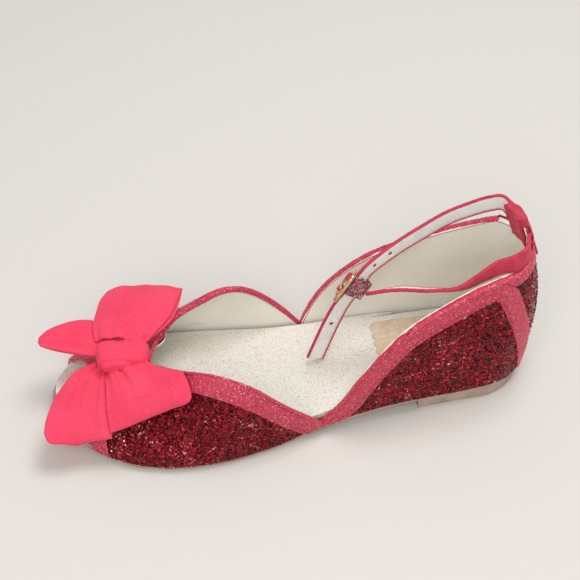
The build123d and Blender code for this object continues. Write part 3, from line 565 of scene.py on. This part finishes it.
VAMP_EDGE = {
    1: [(72.2, 30.7, 7.0), (80.0, 31.7, 15.6), (86.5, 32.3, 22.5), (93.0, 32.4, 29.6), (100.0, 31.4, 36.6),
        (108.0, 28.8, 40.6), (116.0, 24.5, 41.1), (123.0, 20.1, 39.2), (129.0, 15.8, 36.5), (134.0, 11.2, 33.8),
        (138.5, 6.4, 31.0), (142.5, 1.4, 28.1)],
    -1: [(72.2, -29.0, 8.0), (80.0, -29.3, 19.0), (86.5, -28.8, 27.2), (93.0, -27.5, 34.3), (100.0, -25.5, 39.7),
         (108.0, -23.1, 41.7), (116.0, -22.0, 39.0), (123.0, -21.3, 35.7), (129.0, -19.1, 33.5),
         (134.0, -13.6, 32.5), (138.5, -8.7, 30.5), (142.5, -0.5, 28.1)],
}


def rolled_edge(name, path, outward, half_wall, away):
    """A roll of cloth over a cut edge: an oval as wide as the wall, carried along the edge."""
    path, outward = np.array(path), np.array(outward)
    travel = np.gradient(path, axis=0)
    travel /= np.linalg.norm(travel, axis=1)[:, None]
    outward = outward - travel * (outward * travel).sum(axis=1)[:, None]
    outward /= np.linalg.norm(outward, axis=1)[:, None]
    up = np.cross(travel, outward)
    up *= np.sign((up * np.array(away)).sum(axis=1))[:, None]
    points, faces = [], []
    for i in range(len(path)):
        puff = 1 + 0.06 * math.sin(i * 1.7)
        for k in range(ROLL_SIDES):
            turn = 2 * math.pi * k / ROLL_SIDES
            points.append(path[i] + outward[i] * half_wall * math.cos(turn)
                          + up[i] * ROLL_TALL * puff * math.sin(turn))
    for i in range(len(path) - 1):
        for k in range(ROLL_SIDES):
            a, b = i * ROLL_SIDES + k, i * ROLL_SIDES + (k + 1) % ROLL_SIDES
            faces.append([a, b, b + ROLL_SIDES, a + ROLL_SIDES])
    faces.append([k for k in reversed(range(ROLL_SIDES))])
    faces.append([(len(path) - 1) * ROLL_SIDES + k for k in range(ROLL_SIDES)])
    roll = make_piece(name, points, faces, shimmer)
    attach(roll, "shoe")


def quarter_top(x, y):
    """The height of the quarter's edge over a place in plan, in metres."""
    side = np.array(QUARTER_EDGE[1 if y > 0 else -1][::-1]) / 1000
    return min(float(np.interp(x, side[:, 0], side[:, 1])), RIM_HEIGHT - y * RIM_TILT)


WALL_SEEN_FROM = Vector((0, 0, 0.066))
HALF_HEEL = 0.018
WALL_MIDDLE = 0.00095
EDGE_FROM_X = 0.001
wall = surface_of(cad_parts["quarter_interlining"])
path, outward = [], []
for hand, way in ((1, 1), (0, 1), (-1, -1)):
    if hand:
        drawn = line_through([(x / 1000, 0, z / 1000) for x, z in QUARTER_EDGE[hand]], np.linspace(0, 1, 110))
        rays = [((x, 0, min(z, quarter_top(x, hand * HALF_HEEL)) - ROLL_DROP), (0, hand, 0))
                for x, _, z in drawn if x > EDGE_FROM_X]
        rays = rays[::way]
    else:
        rays = []
        for degrees in np.linspace(87, -87, 60):
            toward = (-math.cos(math.radians(degrees)), math.sin(math.radians(degrees)), 0)
            found = wall.ray_cast(WALL_SEEN_FROM, Vector(toward))[0]
            rays.append(((0, 0, quarter_top(found.x, found.y) - ROLL_DROP), toward))
    for origin, toward in rays:
        hit = wall.ray_cast(Vector(origin), Vector(toward))[0]
        if hit is not None:
            path.append(np.array(hit) + np.array(toward) * WALL_MIDDLE)
            outward.append(toward)
rolled_edge("quarter_rolled_edge", path, outward, QUARTER_WALL, (0.3, 0, 1))

edge = np.array(VAMP_EDGE[1] + VAMP_EDGE[-1][::-1]) / 1000
drawn = line_through(edge, np.linspace(0, 1, 170))
outward = np.stack([np.zeros(len(drawn)), drawn[:, 1] - 0.0015, drawn[:, 2]], axis=1)
outward /= np.linalg.norm(outward, axis=1)[:, None]
rolled_edge("vamp_rolled_edge", drawn - outward * VAMP_MIDDLE, outward, VAMP_WALL, (-1, 0, 0.5))

# The edge of the toe opening is found on the vamp itself, from one side to the other.
TOE_SIDES = (-0.0255, 0.0262)
TOE_SEARCH = (0.150, 0.192)
ABOVE_TOE = 0.06
panel = surface_of(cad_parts["vamp"])
path, outward = [], []
for y in np.linspace(*TOE_SIDES, 60):
    on, off = TOE_SEARCH
    for _ in range(14):
        x = (on + off) / 2
        hit = panel.ray_cast(Vector((x, y, ABOVE_TOE)), Vector((0, 0, -1)))
        on, off = (x, off) if hit[0] is not None else (on, x)
    spot, normal = panel.ray_cast(Vector((on - 0.0003, y, ABOVE_TOE)), Vector((0, 0, -1)))[:2]
    path.append(np.array(spot) - np.array(normal) * VAMP_MIDDLE)
    outward.append(np.array(normal))
rolled_edge("toe_rolled_edge", path, outward, VAMP_WALL, (1, 0, 0))


# ---------------------------------------------------------------- heel tab
# A loop of the same red cloth, softly padded, is sewn over the middle of the heel. Its roof and
# inner leg close round the strap, which slides through.
TAB_VOXEL = 0.0004
satin, tree, shader, place = start("brushed_satin", Roughness=0.55, IOR=1.5, Sheen_Weight=0.3,
                                   Sheen_Roughness=0.4, Sheen_Tint=linear("#FF8FA0"))
cloth = add(tree, "TexNoise", {"Vector": place, "Scale": per_metre(4.0), "Detail": 6.0})
ribs = add(tree, "TexVoronoi", {"Vector": place, "Scale": per_metre(0.45)})
colour = ramp(tree, cloth.outputs["Fac"], [(0.3, "#B2203D"), (0.6, "#C52C47"), (0.8, "#D13C55")])
tree.links.new(colour, shader.inputs["Base Color"])
nap = add(tree, "Math", {0: cloth.outputs["Fac"], 1: ribs.outputs["Distance"]}, operation="ADD")
raise_by(tree, shader, nap.outputs[0], 0.22, 0.5)
tab = softened("heel_tab_cloth", "heel_tab", satin, TAB_VOXEL, 75, 0.3, 6.0)
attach(tab, "shoe")
dress(["strap_face_heel"], satin)


# ---------------------------------------------------------------- ankle strap
# An 8 mm strap of red satin, turned over at both edges on to a white brushed lining. One length
# runs in the tab, and a strand goes forward on each side of the ankle. The inner strand passes
# the keeper as a punched tail, and the outer one ends in the fold that it was sewn with.
STRAP_WIDE = 8.0
STRAP_THICK = 1.6
TURNED_EDGE = 0.8
EDGE_FOLD = 0.45
LINING_SUNK = 0.12
STRAP_STEPS = 150
OUTER_STRAND = [(-19.5, 3.3, 77.2), (-18, 9.3, 74.6), (-11.5, 13.6, 73.5), (-4.5, 14.1, 72.6), (3, 14.7, 68.7),
                (11, 14.4, 63.8), (22, 10.5, 60.6), (34.5, 4.8, 57.9), (47.5, -0.4, 51.9)]
OUTER_LEAN = [0.0, 8.0, 16.0, 4.0, -18.0, -38.0, -50.0, -54.0, -46.0]
INNER_STRAND = [(-15.2, -9.3, 81.8), (-12.7, -13, 83.0), (-8, -15.5, 81), (-1.3, -17, 78), (8, -17.3, 74.6),
                (20, -16, 69), (30, -13.8, 64.8), (39, -11, 60.8), (45.5, -8.2, 57.8), (51.0, -5.0, 52.5),
                (57.0, -3.6, 45.0), (62.0, -3.0, 34.0), (66.0, -2.8, 22.5), (69.3, -2.6, 12.6)]
HOLES = [(35.0, -12.2, 62.6), (42.4, -9.6, 59.3), (48.7, -6.4, 54.7), (62.1, -3.0, 33.8)]
HOLE_RADIUS = 0.0009

brushed_white, tree, shader, place = start("brushed_microfibre", Roughness=0.88, Sheen_Weight=0.25)
fluff = add(tree, "TexNoise", {"Vector": place, "Scale": per_metre(0.6), "Detail": 5.0})
smudge = add(tree, "TexNoise", {"Vector": place, "Scale": per_metre(7.0), "Detail": 3.0})
colour = ramp(tree, smudge.outputs["Fac"], [(0.25, "#E2DEDA"), (0.5, "#F1EEEA"), (0.8, "#F6F4F1")])
tree.links.new(colour, shader.inputs["Base Color"])
raise_by(tree, shader, fluff.outputs["Fac"], 0.25, 0.8)
dress(["strap_lining_heel"], brushed_white)


def strap_frames(points, side, leans, steps):
    """Centre, travel, width and ankle-ward directions along a strand, in millimetres."""
    p = np.array(points, float)
    widths, inwards = [], []
    for i in range(len(p)):
        travel = p[min(i + 1, len(p) - 1)] - p[max(i - 1, 0)]
        travel /= np.linalg.norm(travel)
        width = np.array([0, 0, 1.0]) - travel * travel[2]
        width /= np.linalg.norm(width)
        inward = np.cross(travel, width) * side
        a = math.radians(leans[i])
        widths.append(width * math.cos(a) + inward * math.sin(a))
        inwards.append(inward * math.cos(a) - width * math.sin(a))
    shares = np.linspace(0, 1, steps)
    at = np.concatenate([[0], np.cumsum(np.linalg.norm(np.diff(p, axis=0), axis=1))]) / \
        np.linalg.norm(np.diff(p, axis=0), axis=1).sum()
    centre = line_through(p, shares)
    width = np.stack([np.interp(shares, at, np.array(widths)[:, k]) for k in range(3)], axis=1)
    inward = np.stack([np.interp(shares, at, np.array(inwards)[:, k]) for k in range(3)], axis=1)
    width /= np.linalg.norm(width, axis=1)[:, None]
    inward -= width * (inward * width).sum(axis=1)[:, None]
    inward /= np.linalg.norm(inward, axis=1)[:, None]
    return centre, width, inward


def swept(name, frames, profile, material, end_round=0.0):
    """A closed profile of (across, depth), in millimetres, carried along a strand."""
    centre, width, inward = frames
    points, faces = [], []
    count, turn = len(centre), len(profile)
    travelled = np.concatenate([[0], np.cumsum(np.linalg.norm(np.diff(centre, axis=0), axis=1))])
    for i in range(count):
        left = travelled[-1] - travelled[i]
        narrow = 1.0
        if end_round and left < end_round:
            narrow = math.sqrt(max(0.04, 1 - (1 - left / end_round) ** 2))
        for across, depth in profile:
            wobble = 0.05 * math.sin(travelled[i] * 1.9 + across) * (1 if abs(across) > 2.5 else 0)
            spot = centre[i] + width[i] * across * narrow + inward[i] * (depth - STRAP_THICK / 2 + wobble)
            points.append(spot / 1000)
    for i in range(count - 1):
        for k in range(turn):
            a, b = i * turn + k, i * turn + (k + 1) % turn
            faces.append([a, b, b + turn, a + turn])
    faces.append([k for k in reversed(range(turn))])
    faces.append([(count - 1) * turn + k for k in range(turn)])
    return make_piece(name, points, faces, material)


def punched(obj, frames):
    """Round holes through the strap, cut with one tool."""
    centre, _, inward = frames
    cutter = bmesh.new()
    for hole in HOLES:
        i = int(np.argmin(np.linalg.norm(centre - np.array(hole), axis=1)))
        turn = Vector(inward[i]).to_track_quat("Z", "Y").to_matrix().to_4x4()
        where = Matrix.Translation(Vector(hole) / 1000) @ turn
        bmesh.ops.create_cone(cutter, cap_ends=True, segments=20, radius1=HOLE_RADIUS, radius2=HOLE_RADIUS,
                              depth=0.006, matrix=where)
    mesh = bpy.data.meshes.new("punch")
    cutter.to_mesh(mesh)
    cutter.free()
    tool = bpy.data.objects.new("punch", mesh)
    bpy.context.scene.collection.objects.link(tool)
    cut = obj.modifiers.new("punch", "BOOLEAN")
    cut.operation = "DIFFERENCE"
    cut.solver = "EXACT"
    cut.object = tool
    applied(obj)
    bpy.data.objects.remove(tool)
    return obj


half = STRAP_WIDE / 2
FACE_PROFILE = [(-half + 0.3, 0), (-half * 0.5, -0.1), (0, -0.14), (half * 0.5, -0.1), (half - 0.3, 0),
                (half, 0.3), (half + 0.05, 0.8), (half, STRAP_THICK - 0.25), (half - 0.3, STRAP_THICK),
                (half - TURNED_EDGE + 0.2, STRAP_THICK + 0.02), (half - TURNED_EDGE, STRAP_THICK - 0.15),
                (half - TURNED_EDGE, STRAP_THICK - EDGE_FOLD), (-half + TURNED_EDGE, STRAP_THICK - EDGE_FOLD),
                (-half + TURNED_EDGE, STRAP_THICK - 0.15), (-half + TURNED_EDGE - 0.2, STRAP_THICK + 0.02),
                (-half + 0.3, STRAP_THICK), (-half, STRAP_THICK - 0.25), (-half - 0.05, 0.8), (-half, 0.3)]
inside = half - TURNED_EDGE + 0.02
LINING_PROFILE = [(-inside, STRAP_THICK - EDGE_FOLD - 0.05), (inside, STRAP_THICK - EDGE_FOLD - 0.05),
                  (inside, STRAP_THICK - LINING_SUNK - 0.08), (inside * 0.6, STRAP_THICK - LINING_SUNK),
                  (0, STRAP_THICK - LINING_SUNK + 0.04), (-inside * 0.6, STRAP_THICK - LINING_SUNK),
                  (-inside, STRAP_THICK - LINING_SUNK - 0.08)]
for name, points, side, leans, rounded in (("outer", OUTER_STRAND, 1, OUTER_LEAN, 3.0),
                                           ("inner", INNER_STRAND, -1, [0.0] * len(INNER_STRAND), 0.0)):
    frames = strap_frames(points, side, leans, STRAP_STEPS)
    face = swept("strap_satin_" + name, frames, FACE_PROFILE, satin, rounded)
    backing = swept("strap_backing_" + name, frames, LINING_PROFILE, brushed_white, rounded)
    y, z = points[0][1] / 1000, points[0][2] / 1000
    for piece, node, slot in ((face, "strap_face_" + name, "satin"),
                              (backing, "strap_lining_" + name, "lining")):
        if side < 0:
            punched(piece, frames)
        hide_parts(node)
        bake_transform(piece)


# ---------------------------------------------------------------- keeper and buckle
# A short sleeve of rose glitter cloth holds the tail against the strand. The buckle is a bent
# wire frame plated pale gold, which hangs by two small loops of satin with its prong between.
KEEPER_GRAIN_MM = 0.6
# The palest stop is painted sparkle set in the cloth's own colour.
KEEPER_TONES_AND_PAINTED_SPARKLE = [(0.0, "#6E2C3C"), (0.25, "#8E4354"), (0.55, "#A85A6C"), (0.85, "#C27A8A"),
                  (0.97, "#EBC4CA")]
keeper_cloth = glitter_cloth("coarse_glitter_cloth", KEEPER_GRAIN_MM, 0.45, KEEPER_TONES_AND_PAINTED_SPARKLE, regular=0.35,
                             Metallic=0.3)
keeper = softened("keeper_sleeve", "strap_keeper", keeper_cloth, 0.0003, 22, 0.06, 1.7)
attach(keeper, "ankle_strap")
chape = softened("buckle_chape_loops", "buckle_chape", satin, 0.0002, 3)
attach(chape, "ankle_strap")

gold, tree, shader, place = start("pale_gold_plate", Metallic=1.0, Roughness=0.24)
wear = add(tree, "TexNoise", {"Vector": place, "Scale": per_metre(2.5), "Detail": 5.0})
tree.links.new(ramp(tree, wear.outputs["Fac"], [(0.3, "#C9A27C"), (0.6, "#DDBE98"), (0.8, "#E9D3B4")]),
               shader.inputs["Base Color"])
polish = add(tree, "MapRange", {"Value": wear.outputs["Fac"], 3: 0.16, 4: 0.36})
tree.links.new(polish.outputs[0], shader.inputs["Roughness"])
dress(["buckle_frame", "buckle_prong"], gold)


# ---------------------------------------------------------------- bow
# Two tubes of coral crepe, folded into loops and pressed nearly flat, cross over the throat of the
# vamp, two ends to each side. A pleated band of the same crepe is wrapped round the middle and
# sewn through, and it gathers the loops so that creases run out of it.
CREPE_MM = 0.55
CREPE_THICK = 0.0005
crepe, tree, shader, place = start("crinkled_crepe", Roughness=0.86, IOR=1.45, Sheen_Weight=0.25,
                                   Sheen_Roughness=0.6, Sheen_Tint=linear("#FF9DB0"))
crinkle = add(tree, "TexNoise", {"Vector": place, "Scale": per_metre(CREPE_MM), "Detail": 3.0,
                                 "Distortion": 0.8})
drift = add(tree, "TexNoise", {"Vector": place, "Scale": per_metre(14.0), "Detail": 3.0})
hue = ramp(tree, drift.outputs["Fac"], [(0.3, "#F23B5E"), (0.55, "#F84466"), (0.8, "#FB4D70")])
# The hollows of the crinkle are darkened with painted shade.
painted_pit_shade = ramp(tree, crinkle.outputs["Fac"], [(0.3, "#E4D4D8"), (0.6, "#FFFFFF")])
cloth = add(tree, "Mix", {0: 1.0, 6: hue, 7: painted_pit_shade}, data_type="RGBA", blend_type="MULTIPLY")
tree.links.new(cloth.outputs[2], shader.inputs["Base Color"])
raise_by(tree, shader, crinkle.outputs["Fac"], 0.3, 0.8)

# Each loop's four edges, in millimetres: where it leaves the knot, its two sides, and its far fold.
PETALS = {
    "toe_inner": dict(
        root=[(158.5, -18.0, 31.0), (160.0, -11.5, 31.0), (161.5, -5.0, 29.5)],
        first=[(158.5, -18.0, 31.0), (164.4, -23.0, 33.2), (170.8, -23.6, 34.2), (177.2, -22.4, 34.4),
               (182.4, -20.6, 34.4), (187.0, -18.2, 33.9)],
        second=[(161.5, -5.0, 29.5), (166.0, -6.5, 28.6), (171.5, -8.6, 28.5), (178, -9.8, 30.3),
                (183.7, -11.5, 31.6), (187.9, -13.4, 32.3)],
        fold=[(187.0, -18.2, 33.9), (188.8, -15.6, 33.1), (187.9, -13.4, 32.3)], puff=1.5, seed=3, pleats=0.5),
    "heel_inner": dict(
        root=[(143.6, -5.5, 33.0), (153.0, -7.5, 36.0), (164.0, -10.5, 33.5)],
        first=[(143.6, -5.5, 33.0), (137.5, -9, 36.2), (131.8, -14.5, 37.2), (127.2, -23.5, 37.4),
               (123.6, -33, 36.6)],
        second=[(164.0, -10.5, 33.5), (164.3, -17.5, 35.2), (162.4, -25.5, 35.4), (160.6, -31.5, 35.4),
                (156.4, -38.4, 35.4)],
        fold=[(123.6, -33, 36.6), (130.4, -36, 36.4), (139.3, -37.8, 36.2), (149.6, -38.8, 35.8),
              (156.4, -38.4, 35.4)], puff=1.5, seed=5, pleats=1.0, overhang=1.5),
    "toe_outer": dict(
        root=[(160.0, 2.0, 27.5), (162.5, 0.0, 27.8), (165.0, -3.0, 27.0)],
        first=[(160.0, 2.0, 27.5), (160.4, 12, 26.0), (161.1, 22.5, 22.0), (161.6, 29.8, 16.8)],
        second=[(165.0, -3.0, 27.0), (170.1, -3.6, 25.2), (174.7, -2.6, 24), (178.6, 1, 22.8), (182.5, 5.9, 21.8),
                (184.8, 9.6, 21.2), (186.5, 13.5, 20.6), (188.1, 17.3, 20), (189.7, 23.6, 18.5)],
        fold=[(161.6, 29.8, 16.8), (166.2, 29.6, 16.4), (170.6, 28.6, 15.2), (176.3, 29.2, 14.6),
              (182.4, 28.9, 16), (188.2, 27.6, 17.2), (189.7, 23.6, 18.5)], puff=1.8, seed=8, pleats=2.0),
    "heel_outer": dict(
        root=[(143.4, 4.0, 32.0), (152.0, 3.5, 31.0), (161.2, 1.2, 28.6)],
        first=[(143.4, 4.0, 32.0), (140.8, 7.2, 33.2), (134.7, 12.6, 36.0), (128.4, 18, 39.2)],
        second=[(161.2, 1.2, 28.6), (161.6, 12, 28.0), (162.2, 22.5, 24.4), (161.8, 28.9, 19.6)],
        fold=[(128.4, 18, 39.2), (127.4, 24.5, 38), (127.0, 29.2, 34.8), (136.2, 28.9, 29.6), (143.5, 28.6, 26.2),
              (150.8, 28.8, 23.2), (156.7, 29, 21), (161.8, 28.9, 19.6)], puff=1.7, seed=13, pleats=1.7),
}
OUTWARD_STEPS = 46
ACROSS_STEPS = 44
REST_GAP = 0.45
FURTHEST_LIFT = 4.5
under = surface_of(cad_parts["vamp"], bound["vamp_topline_binding"], bound["toe_binding"])


def lifted(spot, gap):
    """A point in millimetres, moved out until it clears what the bow lies on."""
    near, normal, _, far = under.find_nearest(Vector(spot / 1000), 0.02)
    if near is None or normal.z < 0.05 or normal.x > 0.75:
        return spot
    over_it = (Vector(spot / 1000) - near).dot(normal) * 1000
    if over_it >= gap or gap - over_it > FURTHEST_LIFT:
        return spot
    return spot + np.array(normal) * (gap - over_it)


def patch(edges):
    """A smooth patch between four edges: rows go outward, columns go across."""
    out, cross = np.linspace(0, 1, OUTWARD_STEPS), np.linspace(0, 1, ACROSS_STEPS)
    first, second = line_through(edges["first"], out), line_through(edges["second"], out)
    root, fold = line_through(edges["root"], cross), line_through(edges["fold"], cross)
    u, v = out[:, None, None], cross[None, :, None]
    ruled = (1 - v) * first[:, None] + v * second[:, None] + (1 - u) * root[None] + u * fold[None]
    corner = ((1 - u) * (1 - v) * root[0] + (1 - u) * v * root[-1] + u * (1 - v) * fold[0] + u * v * fold[-1])
    return ruled - corner


def loop_of_crepe(name, edges):
    """One end of the bow: crepe that goes out, turns over at the far fold and comes back underneath."""
    rng = np.random.default_rng(edges["seed"])
    base = patch(edges)
    u = np.linspace(0, 1, OUTWARD_STEPS)[:, None]
    v = np.linspace(0, 1, ACROSS_STEPS)[None, :]
    normal = np.cross(np.gradient(base, axis=0), np.gradient(base, axis=1))
    normal /= np.maximum(np.linalg.norm(normal, axis=2), 1e-9)[:, :, None]
    normal *= np.sign(normal[..., 2].mean())
    pleats = sum(rng.uniform(0.5, 1.0)
                 * np.sin(2 * math.pi * (k * v + rng.random() + 0.12 * np.sin(3 * u + k)))
                 for k in (3, 4, 6, 7)) * 0.5 * edges["pleats"] * np.exp(-2.9 * u)
    sag = 0.45 * np.sin(2 * math.pi * (0.8 * v + 0.5 * u + rng.random())) * u \
        + 0.22 * np.sin(2 * math.pi * (2.3 * v - 0.6 * u + rng.random())) * u
    hem = 0.3 * np.sin(2 * math.pi * (3.1 * v + rng.random())) * u ** 4
    gap = REST_GAP + edges["puff"] * np.sin(math.pi * np.clip(v, 0, 1)) ** 0.6 \
        * np.sin(math.pi * (0.18 + 0.62 * u)) ** 0.8
    gap = gap * np.sqrt(np.clip(1 - u ** 7, 0, 1))
    rise = pleats + sag + hem
    middle = base + normal * (rise + 0.6 * gap)[..., None]
    for i in range(OUTWARD_STEPS):
        for j in range(ACROSS_STEPS):
            middle[i, j] = lifted(middle[i, j], REST_GAP + gap[i, j])
    for _ in range(2):
        middle[1:-1, 1:-1] = (middle[1:-1, 1:-1] * 2 + middle[:-2, 1:-1] + middle[2:, 1:-1]
                              + middle[1:-1, :-2] + middle[1:-1, 2:]) / 6
    top = middle + normal * gap[..., None]
    below = middle - normal * gap[..., None]
    sideways = edges.get("overhang", 0.0) * (1 - v[..., None]) ** 6 \
        * np.sin(math.pi * np.clip(u, 0, 0.95))[..., None]
    across = base[:, :1] - base[:, 1:2]
    below = below + sideways * across / np.maximum(np.linalg.norm(across, axis=2), 1e-9)[..., None]
    around = np.concatenate([top, below[::-1][1:]], axis=0) / 1000
    rows = len(around)
    faces = [[i * ACROSS_STEPS + j, i * ACROSS_STEPS + j + 1, (i + 1) * ACROSS_STEPS + j + 1,
              (i + 1) * ACROSS_STEPS + j] for i in range(rows - 1) for j in range(ACROSS_STEPS - 1)]
    loop = make_piece(name, around.reshape(-1, 3), faces, crepe)
    thick = loop.modifiers.new("thick", "SOLIDIFY")
    thick.thickness = CREPE_THICK
    thick.offset = 0
    rounder = loop.modifiers.new("rounder", "SUBSURF")
    rounder.levels = 1
    rounder.render_levels = 1
    applied(loop)
    loop.data.polygons.foreach_set("use_smooth", [True] * len(loop.data.polygons))
    return loop


for name, edges in PETALS.items():
    loop = loop_of_crepe("bow_loop_" + name, edges)
    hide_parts("bow_petal_" + name)
    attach(loop, "shoe")

# The knot: the wrapped band, with pleats that run from toe to heel.
KNOT_VOXEL = 0.0005
KNOT_PRESSED = 0.62
knot = softened("bow_knot_band", "bow_knot", crepe, KNOT_VOXEL, 60)
low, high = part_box("bow_knot")
middle = (low + high) / 2
points, normals = vertex_table(knot.data)
x = (points[:, 0] - middle.x) * 1000
y = (points[:, 1] - middle.y) * 1000
bent = y + 0.018 * x ** 2 * np.sign(y) * 0.3 + 0.7 * np.sin(x * 0.25 + 0.6)
pleat = 0.42 * np.sin(bent * 1.75) + 0.24 * np.sin(bent * 3.4 + 1.1 + 0.12 * x) + 0.10 * np.sin(bent * 6.1)
points = points + normals * (pleat / 1000)[:, None]
points[:, 2] = low.z + (points[:, 2] - low.z) * KNOT_PRESSED
moved_to(knot.data, points)
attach(knot, "shoe")


# ---------------------------------------------------------------- floor, light and camera
# A pale plain floor under soft studio light, seen from above the outer side of the shoe.
FLOOR_HALF = 1.6
floor_paint, tree, shader, place = start("matt_floor", Roughness=0.85)
shader.inputs["Base Color"].default_value = linear("#D9D5CF")
floor = make_piece("floor", [(-FLOOR_HALF, -FLOOR_HALF, 0), (FLOOR_HALF, -FLOOR_HALF, 0),
                             (FLOOR_HALF, FLOOR_HALF, 0), (-FLOOR_HALF, FLOOR_HALF, 0)], [(0, 1, 2, 3)],
                   floor_paint)

world = bpy.data.worlds.new("studio")
bpy.context.scene.world = world
world.use_nodes = True
world.node_tree.nodes["Background"].inputs["Color"].default_value = linear("#FFFFFF")
world.node_tree.nodes["Background"].inputs["Strength"].default_value = 0.5

SHOE_MIDDLE = (cad_box[0] + cad_box[1]) / 2
LAMPS = {
    "key": ((-0.25, -0.10, 0.95), 0.45, 5.2),
    "fill": ((0.25, 0.70, 0.70), 0.7, 4.2),
}
for name, (offset, size, watts) in LAMPS.items():
    light = bpy.data.lights.new(name, "AREA")
    light.size = size
    light.energy = watts
    lamp = bpy.data.objects.new(name, light)
    bpy.context.scene.collection.objects.link(lamp)
    lamp.location = SHOE_MIDDLE + Vector(offset)
    lamp.rotation_mode = "QUATERNION"
    lamp.rotation_quaternion = (-Vector(offset)).to_track_quat("-Z", "Y")

EYE = Vector((0.1355, 0.3623, 0.4460))
LOOKED_AT = Vector((0.07445, -0.03856, 0.020))
ROLL = math.radians(-1.31)
LENS_MM = 79.13
SENSOR_MM = 36.0
back = (EYE - LOOKED_AT).normalized()
right = Vector((0, 0, 1)).cross(back).normalized()
up = back.cross(right)
rolled_right = right * math.cos(ROLL) + up * math.sin(ROLL)
rolled_up = up * math.cos(ROLL) - right * math.sin(ROLL)
lens = bpy.data.cameras.new("camera")
lens.lens = LENS_MM
lens.sensor_width = SENSOR_MM
lens.clip_start = 0.01
lens.clip_end = 20.0
camera = bpy.data.objects.new("camera", lens)
bpy.context.scene.collection.objects.link(camera)
turned = Matrix((rolled_right, rolled_up, back)).transposed().to_4x4()
camera.matrix_world = Matrix.Translation(EYE) @ turned
bpy.context.scene.camera = camera
bpy.context.scene.view_settings.view_transform = "Standard"
